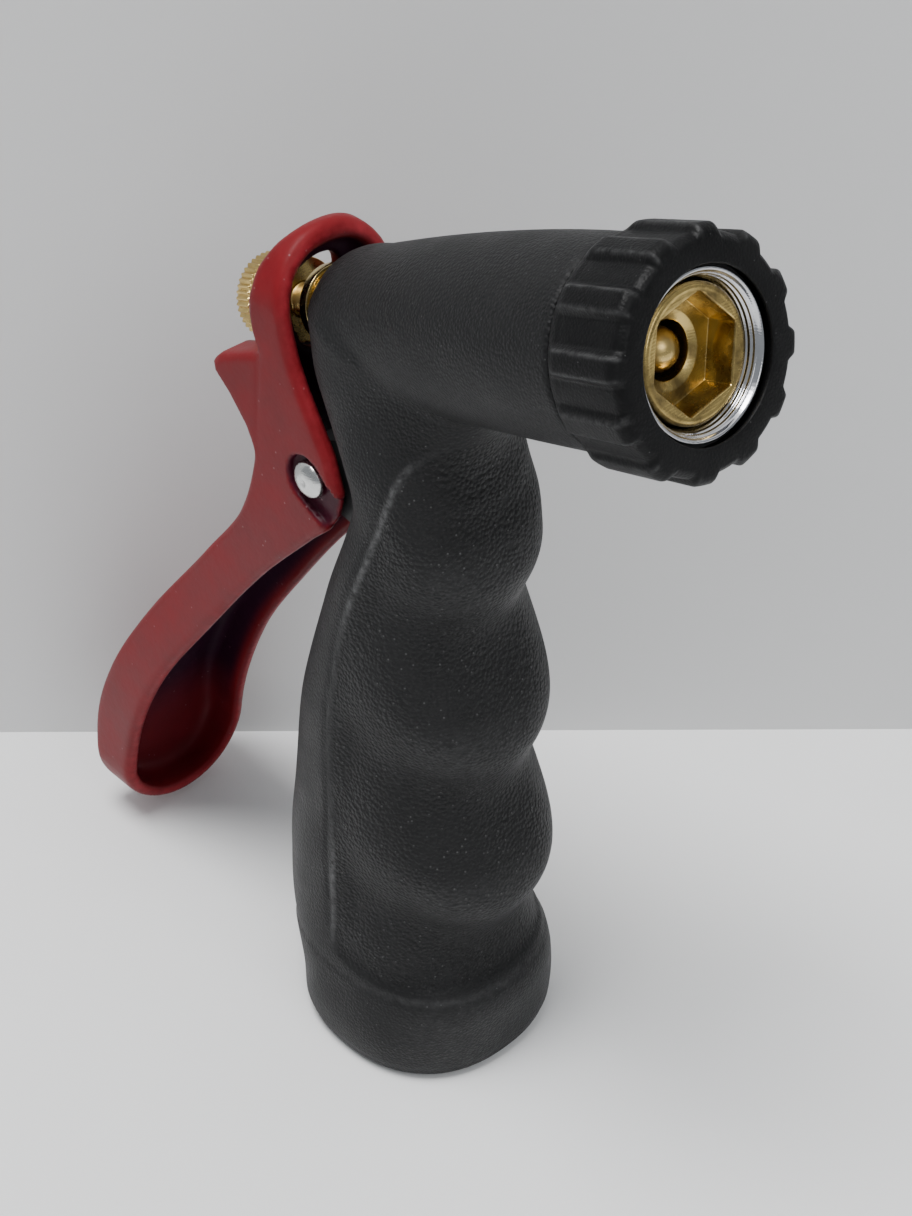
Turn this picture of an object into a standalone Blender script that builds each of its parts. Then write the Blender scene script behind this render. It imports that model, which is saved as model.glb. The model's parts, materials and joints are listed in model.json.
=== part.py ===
"""Pistol-grip hose nozzle with a rear squeeze lever, modelled piece by piece.

Lengths below are in millimetres. Two frames are used: the grip frame, with Z up the
hose inlet's axis, Y towards the lever and the floor at Z = 0, and the barrel frame,
whose Z runs forward along the barrel's axis and whose Y points up from it.
"""

from math import asin, cos, hypot, pi, radians, sin, tau

import bmesh
import bpy
import numpy as np
from mathutils import Vector

MM = 0.001  # metres in a millimetre

# Whole nozzle
INLET_Y = -8.185  # the inlet's axis, measured from the middle of the nozzle's footprint
BARREL_HEIGHT = 124.1  # where the barrel's axis crosses the inlet's axis
BARREL_RISE = 18.5  # degrees that the barrel rises towards the front
GAP = 0.3  # clearance between pieces that touch
RUNNING_GAP = 0.09  # clearance of a pin or rod in its hole

# Rubber cover: the grip, given as (height, distance) from the inlet's axis
GRIP_BACK = ((0, 18.2), (8, 18.0), (15, 20.7), (30, 21.8), (44, 20.6), (56, 18.6), (68, 15.8))
NECK_BACK = ((80, 11.5), (92, 7.0), (98, 5.8), (104, 8.0), (110, 11.6), (115, 13.2), (120, 12.0))
GRIP_FRONT = ((0, 18.2), (10, 18.9), (36, 21.1), (64, 19.9), (92, 17.8), (104, 17.0), (120, 16.0))
GRIP_HALF_WIDTH = ((0, 17.7), (6, 18.1), (16, 17.1), (45, 15.8), (85, 14), (98, 12.5), (106, 11.9), (120, 8.6))
GRIP_ROUNDNESS = 2.3  # exponent of the grip's section, 2 being an ellipse
FOOT_RADIUS = 1.5
FINGER_PITCH = 27.7  # height of one finger groove
FINGER_TOP = 92.0  # height of the highest ridge
FINGER_DEPTH = 4.1
FINGER_SKEW = 0.2  # moves each groove's floor up under its ridge
GRIP_TOP = 119.0

# Rubber cover: the barrel, measured along its axis
BARREL_FRONT = 38.6
BARREL_RADIUS = 12.9
BARREL_TAPER = 0.0057
BARREL_TAPER_POWER = 1.75
DOME_START = -5.6
DOME_LENGTH = 9.4
DOME_ROUNDNESS = 2.5
DOME_END = -13.9

# Front bumper
BUMPER_BACK = 38.9
FACE = 51.4  # the nozzle's front face
BUMPER_RADIUS = 14.85
BUMPER_BORE = 10.9
BUMPER_LIP = 10.3
FLUTES = 12
FLUTE_DEPTH = 0.9
FLUTE_SHARE = 0.6  # part of each pitch that the flute takes

# Mouth, along the barrel's axis
COLLAR_FACE = 50.5
SEAT_BACK = 38.2
SEAT_FACE = 49.2
SEAT_RADIUS = 8.2
SEAT_ORIFICE = 3.4
HEX_HALF_FLATS = 6.15
HEX_DEPTH = 4.3
HEX_TURN = 20.0  # degrees that the hexagon is turned from upright

# Body casting
CORE = ((19, 0, 15), (30, 0, 10.4), (60, -0.5, 8.6), (90, -3.5, 8.0), (122, -5.2, 7.6))
CUP_RADIUS = 15.0
CUP_BOTTOM = 0.6
THREAD_MINOR = 12.9
THREAD_MAJOR = 13.6
THREAD_PITCH = 2.2
THREAD_TURNS = 5
CUP_DEPTH = 17.4
WATERWAY = ((17, 0, 9), (30, 0, 7), (60, -0.5, 6), (90, -3.5, 5.8), (120, -5.2, 5.6))
SPOUT_RADIUS = 10.6
SPOUT_END = 49.6
REAR_FACE = -13.7
REAR_BOSS = 5.6
CHAMBER_BACK = 4.6
CHAMBER_RADIUS = 6.2
COUNTERBORE_BACK = 36.6
COUNTERBORE = 9.3
PACKING_BORE = 4.2
PACKING_SHOULDER = 1.5
NECK_BORE = 3.0
LUG_HALF_WIDTH = 6.8
LUG_RADIUS = 4.8

# Pivot of the lever, in the grip frame
PIVOT_Y = 11.5
PIVOT_Z = 97.3
PIN_RADIUS = 1.5
HEAD_RADIUS = 2.8
HEAD_RISE = 1.5
POCKET_RADIUS = 3.7
POCKET_DEPTH = 1.0

# Lever, in the grip frame
LEVER_HALF_WIDTH = 10.2
LEVER_END_HALF_WIDTH = 12.5
LEVER_WALL = 2.2
LEVER_BACK = ((1, 68.4), (6, 69.2), (20, 68.5), (36, 62.3), (51.5, 52.5), (72, 36.5), (84, 27.4))
LEVER_WAIST = ((94.5, 23.4), (102, 22.2), (108, 21.4), (114, 20.8))
LEVER_FRONT = ((1, 61.0), (8, 60.8), (20, 58.5), (38, 50.5), (56.5, 37.5), (75, 23.0), (87, 11.8))
EAR = ((8.6, 90.0), (6.4, 93.5), (5.4, 97.5), (7.0, 102.6), (9.6, 107.0), (12.0, 111.0), (13.8, 115.0))
BROW = ((14.8, 118.5), (15.3, 121.5), (16.0, 125.0), (16.8, 128.5), (17.2, 131.5))
CROWN = ((18.6, 131.2), (19.9, 130.1), (20.9, 128.2), (21.7, 125.4))
SADDLE_Y = 9.3  # middle of the round saddle that bears on the adjusting nut
SADDLE_Z = 119.5
SADDLE_RADIUS = 13.0
ARCH_Z = 120.2  # middle of the arch over the stem
TOE_Z = 13.6
TOE_LENGTH = 11.6
SPUR_TOP = ((19.8, 113.6), (24.5, 111.5), (29.6, 109.0), (31.0, 107.6))
SPUR_UNDERSIDE = ((30.8, 105.9), (27.8, 103.4), (24.6, 99.8), (21.5, 93.5))
SLOT_HALF_WIDTH = 4.4
SLOT_BOTTOM = 111.0
SLOT_TOP = 125.0

# Valve, along the barrel's axis
STEM_RADIUS = 2.4
STEM_BACK = -34.4
STEM_FRONT = 34.1
NUT_RADIUS = 6.1
NUT_CLEARANCE = 6.6  # radius of the scoop in the spur behind the nut
SADDLE_STATION = -23.3  # where the saddle meets the barrel's axis
NUT_TEETH = 24
NUT_BACK = -31.6
NUT_FRONT = -25.1
SPRING_RADIUS = 4.25
SPRING_WIRE = 0.55
SPRING_TURNS = 8.5
GLAND_STEPS = ((-14.7, 4.4), (-16.1, 4.9), (-17.8, 5.5), (-19.2, 4.1))  # each step's rear end and radius
GLAND_END = -20.2

SIDES = 32  # sides of a turned piece


def smooth(points, at):
    """A smooth curve through (position, value) points, each slope being that of its neighbours."""
    x, y = np.array(points, float).T
    slope = np.gradient(y, x)
    at = np.clip(at, x[0], x[-1])
    i = np.clip(np.searchsorted(x, at, side="right") - 1, 0, len(x) - 2)
    h = x[i + 1] - x[i]
    t = (at - x[i]) / h
    rise = (2 * t**3 - 3 * t**2 + 1) * y[i] + (3 * t**2 - 2 * t**3) * y[i + 1]
    return rise + h * ((t**3 - 2 * t**2 + t) * slope[i] + (t**3 - t**2) * slope[i + 1])


def arc(centre, radius, start, end, steps):
    """Points on a circle from one angle to another, in degrees."""
    angles = [radians(start + (end - start) * i / steps) for i in range(steps + 1)]
    return [(centre[0] + radius * cos(a), centre[1] + radius * sin(a)) for a in angles]


def clear_scene():
    for obj in list(bpy.data.objects):
        bpy.data.objects.remove(obj, do_unlink=True)


def material(name, colour, roughness, metallic=0.0):
    made = bpy.data.materials.new(name)
    made.use_nodes = True
    shader = made.node_tree.nodes["Principled BSDF"]
    shader.inputs["Base Color"].default_value = (*colour, 1.0)
    shader.inputs["Roughness"].default_value = roughness
    shader.inputs["Metallic"].default_value = metallic
    return made


def place_mesh(name, bm, finish, parent, at=(0, 0, 0)):
    """Makes an object from a bmesh in millimetres, with its origin at a point of its parent's frame."""
    bmesh.ops.translate(bm, verts=bm.verts, vec=-Vector(at))
    bmesh.ops.scale(bm, verts=bm.verts, vec=(MM, MM, MM))
    bmesh.ops.recalc_face_normals(bm, faces=bm.faces)
    mesh = bpy.data.meshes.new(name)
    bm.to_mesh(mesh)
    bm.free()
    mesh.shade_smooth()
    mesh.set_sharp_from_angle(angle=radians(35))
    obj = bpy.data.objects.new(name, mesh)
    bpy.context.collection.objects.link(obj)
    obj.parent = parent
    obj.location = Vector(at) * MM
    if finish:
        mesh.materials.append(finish)
    return obj


def turned(profile, steps=SIDES):
    """A solid turned about Z from a closed outline of (height, radius) points."""
    bm = bmesh.new()
    corners = [bm.verts.new((radius, 0, height)) for height, radius in profile]
    edges = [bm.edges.new(pair) for pair in zip(corners, corners[1:] + corners[:1])]
    edges = [e for e in edges if max(v.co.x for v in e.verts) > 0]
    bmesh.ops.spin(bm, geom=corners + edges, axis=(0, 0, 1), angle=tau, steps=steps, use_merge=True)
    bmesh.ops.remove_doubles(bm, verts=bm.verts, dist=1e-4)
    return bm


def ring(start, end, inner, outer, steps=SIDES):
    return turned(((start, inner), (start, outer), (end, outer), (end, inner)), steps)


def rod(start, end, radius, steps=SIDES):
    return turned(((start, 0), (start, radius), (end, radius), (end, 0)), steps)


def lofted(rings, closed=False):
    """A skin through rings of equally many points, capped at both ends or closed on itself."""
    bm = bmesh.new()
    rows = [[bm.verts.new(point) for point in points] for points in rings]
    pairs = list(zip(rows, rows[1:]))
    if closed:
        pairs.append((rows[-1], rows[0]))
    else:
        bm.faces.new(rows[0])
        bm.faces.new(rows[-1])
    for low, high in pairs:
        for i in range(len(low)):
            j = (i + 1) % len(low)
            bm.faces.new((low[i], low[j], high[j], high[i]))
    return bm


def extruded(outline, start, end, across="X"):
    """A flat outline carried along X, as (y, z) points, or along Y, as (x, z) points."""
    bm = bmesh.new()
    if across == "X":
        corners = [bm.verts.new((start, a, b)) for a, b in outline]
        travel = (end - start, 0, 0)
    else:
        corners = [bm.verts.new((a, start, b)) for a, b in outline]
        travel = (0, end - start, 0)
    bm.faces.new(corners)
    grown = bmesh.ops.extrude_face_region(bm, geom=list(bm.faces))["geom"]
    bmesh.ops.translate(bm, verts=[v for v in grown if isinstance(v, bmesh.types.BMVert)], vec=travel)
    return bm


def cutter(name, bm, parent):
    obj = place_mesh(name, bm, None, parent)
    obj.hide_render = True
    obj.display_type = "WIRE"
    return obj


def combine(obj, other, operation):
    modifier = obj.modifiers.new(f"{operation.lower()} {other.name}", "BOOLEAN")
    modifier.operation = operation
    modifier.object = other


def axis_z_mesh_to_x(bm):
    """Turns a piece made about Z so that it lies along X."""
    for vert in bm.verts:
        vert.co = Vector((vert.co.z, vert.co.y, -vert.co.x))
    return bm


def finger_groove(height):
    """Depth of the finger grooves at a height: a cosine wave, skewed so that each floor sits high."""
    phase = tau * (FINGER_TOP - height) / FINGER_PITCH
    wave = 0.5 - 0.5 * np.cos(phase + FINGER_SKEW * (1 - np.cos(phase)))
    fade = np.clip((height - 12.0) / 6.0, 0, 1)
    return FINGER_DEPTH * wave * fade


def grip_skin():
    """Oval sections up the grip, its front line drawn in by the finger grooves."""
    foot = [0.0, 0.5, FOOT_RADIUS]
    levels = np.array(foot + list(np.linspace(5.0, GRIP_TOP, 38)))
    angles = np.linspace(0, tau, 40, endpoint=False)
    power = 2 / GRIP_ROUNDNESS
    rings = []
    for z in levels:
        lift = max(FOOT_RADIUS - z, 0)
        inset = FOOT_RADIUS - (FOOT_RADIUS**2 - lift**2) ** 0.5
        front = smooth(GRIP_FRONT, z) - finger_groove(z) - inset
        back = smooth(GRIP_BACK + NECK_BACK, z) - inset
        width = smooth(GRIP_HALF_WIDTH, z) - inset
        middle = (back - front) / 2
        depth = (back + front) / 2
        across = width * np.sign(np.cos(angles)) * np.abs(np.cos(angles)) ** power
        along = middle + depth * np.sign(np.sin(angles)) * np.abs(np.sin(angles)) ** power
        rings.append([(x, y, z) for x, y in zip(across, along)])
    return lofted(rings)


def barrel_top(s):
    """Radius of the barrel's upper half, which thins towards the lever."""
    return BARREL_RADIUS - BARREL_TAPER * max(BARREL_FRONT - s, 0) ** BARREL_TAPER_POWER


def barrel_skin():
    """Round sections along the barrel, ending in a blunt dome at the lever's side."""
    stations = [BARREL_FRONT, 33, 27, 21, 15, 9, 4, -1, DOME_START]
    reach = asin((DOME_START - DOME_END) / DOME_LENGTH)
    stations += [DOME_START - DOME_LENGTH * sin(a) for a in np.linspace(0.2, reach, 7)]
    angles = np.linspace(0, tau, 40, endpoint=False)
    rings = []
    for s in stations:
        dome = max(DOME_START - s, 0) / DOME_LENGTH
        scale = (1 - dome**DOME_ROUNDNESS) ** (1 / DOME_ROUNDNESS)
        body = max(s, DOME_START)
        thinned = BARREL_RADIUS - barrel_top(body)
        top = (BARREL_RADIUS - thinned) * scale
        side = (BARREL_RADIUS - 0.8 * thinned) * scale
        bottom = (BARREL_RADIUS - 0.2 * thinned) * scale
        rings.append([(side * cos(a), (top if sin(a) > 0 else bottom) * sin(a), s) for a in angles])
    return lofted(rings)


def tube_along(stations, extra=0.0, sides=SIDES):
    """A round bar whose middle and radius follow (height, y, radius) stations."""
    rings = []
    for z, y, radius in stations:
        turn = [tau * i / sides for i in range(sides)]
        rings.append([((radius + extra) * cos(a), y + (radius + extra) * sin(a), z) for a in turn])
    return lofted(rings)


def core_profile(extra=0.0):
    """Outline of the casting's barrel, inside the cover and out through the bumper."""
    end = SPOUT_END if not extra else FACE + 5
    back = REAR_FACE if not extra else REAR_FACE - 4
    boss = REAR_BOSS + extra
    outline = [(back, 0), (back, boss), (-9.0, boss), (-5.0, 6.2 + extra), (4.0, 8.0 + extra)]
    outline += [(s, barrel_top(s) - 2.4 + extra) for s in (12.0, 20.0, 30.0)]
    outline += [(BARREL_FRONT - 0.5, SPOUT_RADIUS + extra), (end, SPOUT_RADIUS + extra), (end, 0)]
    return outline


def lug_outline(extra=0.0):
    """Side outline of the lug that carries the pivot, behind the neck."""
    nose = arc((PIVOT_Y, PIVOT_Z), LUG_RADIUS + extra, -70, 80, 12)
    root = [(4.0, 106.0 + extra), (-4.0, 106.0 + extra), (-4.0, 91.0 - extra), (4.0, 91.0 - extra)]
    return nose + root


def make_body(frames, finish):
    grip, barrel = frames
    cup = [(CUP_BOTTOM, 0), (CUP_BOTTOM, CUP_RADIUS - 0.6), (CUP_BOTTOM + 0.6, CUP_RADIUS)]
    cup += [(19.5, CUP_RADIUS), (24.0, 12.0), (24.0, 0)]
    body = place_mesh("body_casting", turned(cup, 40), finish, grip)
    combine(body, cutter("core_grip", tube_along(CORE), grip), "UNION")
    combine(body, cutter("core_barrel", turned(core_profile()), barrel), "UNION")
    lug = extruded(lug_outline(), -LUG_HALF_WIDTH, LUG_HALF_WIDTH)
    combine(body, cutter("core_lug", lug, grip), "UNION")

    teeth = [(THREAD_MINOR, THREAD_MAJOR)[i % 2] for i in range(2 * THREAD_TURNS + 1)]
    thread = [(1.4 + i * THREAD_PITCH / 2, r) for i, r in enumerate(teeth)]
    inlet = [(-1.0, 0), (-1.0, THREAD_MAJOR), (0.9, THREAD_MAJOR)] + thread
    inlet += [(CUP_DEPTH - 3.4, THREAD_MINOR), (CUP_DEPTH - 3.0, 13.2), (CUP_DEPTH, 13.2), (CUP_DEPTH, 0)]
    combine(body, cutter("inlet_bore", turned(inlet, 40), grip), "DIFFERENCE")
    combine(body, cutter("waterway", tube_along(WATERWAY, 0.0, 24), grip), "DIFFERENCE")
    bore = [(REAR_FACE - 2, 0), (REAR_FACE - 2, PACKING_BORE), (PACKING_SHOULDER, PACKING_BORE)]
    bore += [(PACKING_SHOULDER, NECK_BORE), (CHAMBER_BACK, NECK_BORE), (CHAMBER_BACK, CHAMBER_RADIUS)]
    bore += [(COUNTERBORE_BACK, CHAMBER_RADIUS), (COUNTERBORE_BACK, COUNTERBORE)]
    bore += [(SPOUT_END + 2, COUNTERBORE), (SPOUT_END + 2, 0)]
    combine(body, cutter("valve_bore", turned(bore), barrel), "DIFFERENCE")
    hole = axis_z_mesh_to_x(rod(-12, 12, PIN_RADIUS + RUNNING_GAP, 24))
    bmesh.ops.translate(hole, verts=hole.verts, vec=(0, PIVOT_Y, PIVOT_Z))
    combine(body, cutter("lug_hole", hole, grip), "DIFFERENCE")
    return body


def make_cover(frames, finish):
    grip, barrel = frames
    cover = place_mesh("rubber_cover", grip_skin(), finish, grip)
    combine(cover, cutter("cover_barrel", barrel_skin(), barrel), "UNION")
    combine(cover, cutter("room_grip", tube_along(CORE, GAP), grip), "DIFFERENCE")
    cup = rod(-1.0, 20.6, CUP_RADIUS + GAP, 40)
    combine(cover, cutter("room_cup", cup, grip), "DIFFERENCE")
    combine(cover, cutter("room_barrel", turned(core_profile(GAP)), barrel), "DIFFERENCE")
    lug = extruded(lug_outline(GAP), -LUG_HALF_WIDTH - GAP, LUG_HALF_WIDTH + GAP)
    combine(cover, cutter("room_lug", lug, grip), "DIFFERENCE")
    return cover


def flute(angle):
    """How far the bumper's side is drawn in at an angle: flat flutes with short ramps."""
    phase = (angle * FLUTES / tau) % 1.0
    edge = abs(phase - 0.5) * 2
    return FLUTE_DEPTH * min(max((edge - 1 + FLUTE_SHARE) / 0.12 + 0.5, 0), 1)


def make_bumper(barrel, finish):
    sides = FLUTES * 10
    rings = []
    for s, radius, fluted in (
        (BUMPER_BACK, BARREL_RADIUS + 0.5, 0.35),
        (BUMPER_BACK + 1.3, BUMPER_RADIUS - 0.3, 1.0),
        (FACE - 0.9, BUMPER_RADIUS, 1.0),
        (FACE, BUMPER_RADIUS - 0.9, 0.4),
        (FACE, BUMPER_LIP, 0.0),
        (SPOUT_END + 1.2, BUMPER_LIP, 0.0),
        (SPOUT_END + 1.2, BUMPER_BORE, 0.0),
        (BUMPER_BACK, BUMPER_BORE, 0.0),
    ):
        row = []
        for i in range(sides):
            angle = tau * i / sides
            r = radius - fluted * flute(angle)
            row.append((r * cos(angle), r * sin(angle), s))
        rings.append(row)
    return place_mesh("front_bumper", lofted(rings, closed=True), finish, barrel)


def hexagon(half_flats, turn):
    """Corners of a hexagon, one of them the given number of degrees from upright."""
    reach = half_flats / cos(pi / 6)
    turns = [radians(turn + 60 * i) for i in range(6)]
    return [(reach * sin(a), reach * cos(a)) for a in turns]


def make_outlet(barrel, finishes):
    """The chrome collar, the brass seat with its hexagon socket, and the gasket behind them."""
    collar = [(SEAT_BACK, 8.5), (SEAT_BACK, 9.1), (SPOUT_END + GAP, 9.1), (SPOUT_END + GAP, 9.95)]
    collar += [(COLLAR_FACE - 0.2, 9.95), (COLLAR_FACE, 9.6), (COLLAR_FACE - 0.4, 9.3)]
    collar += [(COLLAR_FACE - 0.7, 9.35), (COLLAR_FACE - 1.0, 8.95), (COLLAR_FACE - 1.3, 9.0)]
    collar += [(COLLAR_FACE - 1.7, 8.5)]
    place_mesh("outlet_collar", turned(collar, 40), finishes["chrome"], barrel)

    seat = [(SEAT_BACK, SEAT_ORIFICE), (SEAT_BACK, SEAT_RADIUS), (SEAT_FACE - 0.3, SEAT_RADIUS)]
    seat += [(SEAT_FACE, SEAT_RADIUS - 0.3), (SEAT_FACE, SEAT_ORIFICE)]
    insert = place_mesh("seat_insert", turned(seat), finishes["brass"], barrel)
    socket = extruded(hexagon(HEX_HALF_FLATS, HEX_TURN), SEAT_FACE - HEX_DEPTH, SEAT_FACE + 2, "Y")
    for vert in socket.verts:
        vert.co = Vector((vert.co.x, vert.co.z, vert.co.y))
    combine(insert, cutter("hex_socket", socket, barrel), "DIFFERENCE")
    place_mesh("seat_gasket", ring(36.9, 37.9, 6.4, 9.0), finishes["seal"], barrel)


def make_gland(barrel, finishes):
    """Packing, its washer and the gland nut that closes the body round the stem."""
    bore = STEM_RADIUS + RUNNING_GAP
    place_mesh("packing_washer", ring(0.2, 1.2, bore, 3.9), finishes["brass"], barrel)
    place_mesh("stem_packing", ring(-3.6, -0.1, bore, 4.0), finishes["seal"], barrel)
    shank = PACKING_BORE - 0.25
    start = REAR_FACE - GAP
    nut = [(-3.9, bore), (-3.9, shank), (start, shank)]
    for end, radius in GLAND_STEPS:
        nut += [(start, radius), (end, radius)]
        start = end
    nut += [(start, 3.6), (GLAND_END, 3.5), (GLAND_END, bore)]
    place_mesh("gland_nut", turned(nut), finishes["brass"], barrel)
    seat = ring(CHAMBER_BACK + GAP, CHAMBER_BACK + 1.3, 2.7, 5.9)
    place_mesh("spring_seat", seat, finishes["brass"], barrel)


def make_spring(barrel, finish):
    """Coil of round wire between the spring seat and the valve washer."""
    start = CHAMBER_BACK + 1.3 + GAP + SPRING_WIRE
    end = STEM_FRONT - SPRING_WIRE
    count = int(SPRING_TURNS * 14) + 1
    rings = []
    for i in range(count):
        share = i / (count - 1)
        turn = share * SPRING_TURNS * tau
        out = Vector((cos(turn), sin(turn), 0))
        middle = SPRING_RADIUS * out + Vector((0, 0, start + share * (end - start)))
        section = [tau * k / 8 for k in range(8)]
        rings.append([middle + SPRING_WIRE * (cos(a) * out + Vector((0, 0, sin(a)))) for a in section])
    return place_mesh("return_spring", lofted(rings), finish, barrel)


def make_valve(barrel, finishes):
    """The stem and what it carries at its front, all sliding together along the barrel."""
    slide = bpy.data.objects.new("valve_slide", None)
    bpy.context.collection.objects.link(slide)
    slide.parent = barrel
    stem = [(STEM_BACK, 0), (STEM_BACK, 1.9), (STEM_BACK + 0.5, STEM_RADIUS)]
    stem += [(STEM_FRONT, STEM_RADIUS), (STEM_FRONT, 0)]
    place_mesh("valve_stem", turned(stem), finishes["brass"], slide)
    place_mesh("valve_washer", ring(34.4, 35.6, 2.4, 5.7), finishes["brass"], slide)
    place_mesh("valve_seal", ring(35.9, 37.9, 2.5, 5.4), finishes["seal"], slide)
    dome = [(42.9 + 2.6 * sin(a), 2.7 * cos(a)) for a in np.linspace(0, pi / 2, 7)]
    tip = [(34.4, 0), (34.4, 2.1), (38.0, 2.1), (38.2, 2.75)] + dome[:-1] + [(45.5, 0)]
    place_mesh("stem_tip", turned(tip), finishes["brass"], slide)
    return slide


def make_adjuster(slide, finishes):
    """The washer that bears on the lever's saddle and the knurled nut that sets its place."""
    place_mesh("nut_washer", ring(-24.8, -23.65, 2.5, 5.8), finishes["brass"], slide, (0, 0, -24.2))
    sides = NUT_TEETH * 2
    rings = []
    for s, scale, teeth in (
        (NUT_FRONT, 0.9, 0.0),
        (NUT_FRONT - 0.6, 1.0, 1.0),
        (NUT_BACK + 0.6, 1.0, 1.0),
        (NUT_BACK, 0.9, 0.0),
    ):
        row = []
        for i in range(sides):
            r = NUT_RADIUS * scale - 0.35 * teeth * (i % 2)
            row.append((r * cos(tau * i / sides), r * sin(tau * i / sides), s))
        rings.append(row)
    for s in (NUT_BACK, NUT_FRONT):
        rings.append([(2.5 * cos(tau * i / sides), 2.5 * sin(tau * i / sides), s) for i in range(sides)])
    place_mesh("adjusting_nut", lofted(rings, closed=True), finishes["brass"], slide, (0, 0, NUT_FRONT))


def lever_back(inset=0.0):
    """Rear side of the lever seen from its side, crown to toe, moved inwards by a wall's thickness."""
    crown = [(y - inset, z - inset) for y, z in CROWN]
    saddle = arc((SADDLE_Y, SADDLE_Z), SADDLE_RADIUS - inset, 14, -28, 8)
    line = LEVER_BACK + LEVER_WAIST
    heights = np.linspace(SLOT_BOTTOM + 2, LEVER_BACK[0][0] + inset, 26)
    slope = np.gradient(smooth(line, heights), heights)
    handle = [(smooth(line, z) - inset * hypot(1, k), z) for z, k in zip(heights, slope)]
    return crown + saddle + handle


def lever_side():
    """Side outline of the lever: crown, round saddle, long curved handle, and the ear at the pivot."""
    rising = [(smooth(LEVER_FRONT, z), z) for z in np.linspace(LEVER_FRONT[0][0], 87.0, 20)]
    return lever_back() + rising + list(EAR + BROW)


def lever_hollow_side():
    """Side outline of the hollow in the lever's front, run past the front edge."""
    back = lever_back(LEVER_WALL)
    return back + [(-8.0, back[-1][1]), (-8.0, back[0][1])]


def lever_front_outline(inset=0.0):
    """Front outline of the lever: an arch at the top, straight sides, and a spoon-shaped toe."""
    arch = arc((0, ARCH_Z), LEVER_HALF_WIDTH - inset, 0, 180, 20)
    left = []
    for z in np.linspace(90.0, TOE_Z + 7.0, 9):
        share = np.clip((70.0 - z) / 45.0, 0, 1)
        growth = (LEVER_END_HALF_WIDTH - LEVER_HALF_WIDTH) * share**2 * (3 - 2 * share)
        width = LEVER_HALF_WIDTH + growth
        left.append((-(width - inset), z))
    wide = LEVER_END_HALF_WIDTH - inset
    tall = TOE_LENGTH - inset
    toe = [(wide * cos(radians(a)), TOE_Z + tall * sin(radians(a))) for a in range(180, 361, 15)]
    right = [(-x, z) for x, z in reversed(left)]
    return arch + left + toe + right


def make_lever(frames, finish):
    grip, barrel = frames
    pivot = (0, PIVOT_Y, PIVOT_Z)
    lever = place_mesh("squeeze_lever", extruded(lever_side(), -14, 14), finish, grip, pivot)
    spur = cutter("spur", extruded(SPUR_TOP + SPUR_UNDERSIDE, -14, 14), grip)
    combine(lever, spur, "UNION")
    outline = extruded(lever_front_outline(), -5, 90, "Y")
    combine(lever, cutter("lever_outline", outline, grip), "INTERSECT")
    hollow = cutter("lever_hollow", extruded(lever_hollow_side(), -14, 14), grip)
    inner = extruded(lever_front_outline(LEVER_WALL), -20, 95, "Y")
    combine(hollow, cutter("lever_hollow_outline", inner, grip), "INTERSECT")
    combine(lever, hollow, "DIFFERENCE")
    slot = arc((0, SLOT_TOP - SLOT_HALF_WIDTH), SLOT_HALF_WIDTH, 0, 180, 10)
    slot += arc((0, SLOT_BOTTOM + SLOT_HALF_WIDTH), SLOT_HALF_WIDTH, 180, 360, 10)
    combine(lever, cutter("stem_slot", extruded(slot, 16, 40, "Y"), grip), "DIFFERENCE")
    scoop = rod(STEM_BACK - 8, SADDLE_STATION, NUT_CLEARANCE)
    combine(lever, cutter("nut_scoop", scoop, barrel), "DIFFERENCE")
    hole = axis_z_mesh_to_x(rod(-14, 14, PIN_RADIUS + RUNNING_GAP, 24))
    bmesh.ops.translate(hole, verts=hole.verts, vec=pivot)
    combine(lever, cutter("lever_hole", hole, grip), "DIFFERENCE")
    for side, name in ((-1, "pocket_left"), (1, "pocket_right")):
        start, end = sorted((side * (LEVER_HALF_WIDTH - POCKET_DEPTH), side * 14))
        pocket = axis_z_mesh_to_x(rod(start, end, POCKET_RADIUS, 24))
        bmesh.ops.translate(pocket, verts=pocket.verts, vec=pivot)
        combine(lever, cutter(name, pocket, grip), "DIFFERENCE")
    return lever


def make_pivot(grip, finishes):
    """The rivet through lever and lugs, its pressed-on retainer, and two nylon spacers."""
    seat = LEVER_HALF_WIDTH - POCKET_DEPTH + 0.2
    dome = [(-seat - HEAD_RISE * sin(a), HEAD_RADIUS * cos(a)) for a in np.linspace(0, pi / 2, 6)]
    rivet = [(seat + 0.5, 0), (seat + 0.5, PIN_RADIUS), (-seat, PIN_RADIUS)] + dome[:-1]
    rivet.append((-seat - HEAD_RISE, 0))
    pieces = [("pivot_rivet", turned(rivet, 24), "steel")]
    cap = [(seat + HEAD_RISE * sin(a), HEAD_RADIUS * cos(a)) for a in np.linspace(0, pi / 2, 6)]
    bore = PIN_RADIUS + RUNNING_GAP
    cap = [(seat, bore)] + cap[:-1] + [(seat + HEAD_RISE, 0), (seat + 0.8, 0), (seat + 0.8, bore)]
    pieces.append(("rivet_retainer", turned(cap, 24), "steel"))
    room = LEVER_HALF_WIDTH - LEVER_WALL - LUG_HALF_WIDTH
    for side, name in ((-1, "spacer_left"), (1, "spacer_right")):
        start, end = sorted((side * (LUG_HALF_WIDTH + 0.25), side * (LUG_HALF_WIDTH + room - 0.25)))
        pieces.append((name, ring(start, end, PIN_RADIUS + RUNNING_GAP, 3.6, 24), "nylon"))
    for name, bm, finish in pieces:
        axis_z_mesh_to_x(bm)
        bmesh.ops.translate(bm, verts=bm.verts, vec=(0, PIVOT_Y, PIVOT_Z))
        place_mesh(name, bm, finishes[finish], grip, (0, PIVOT_Y, PIVOT_Z))


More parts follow.
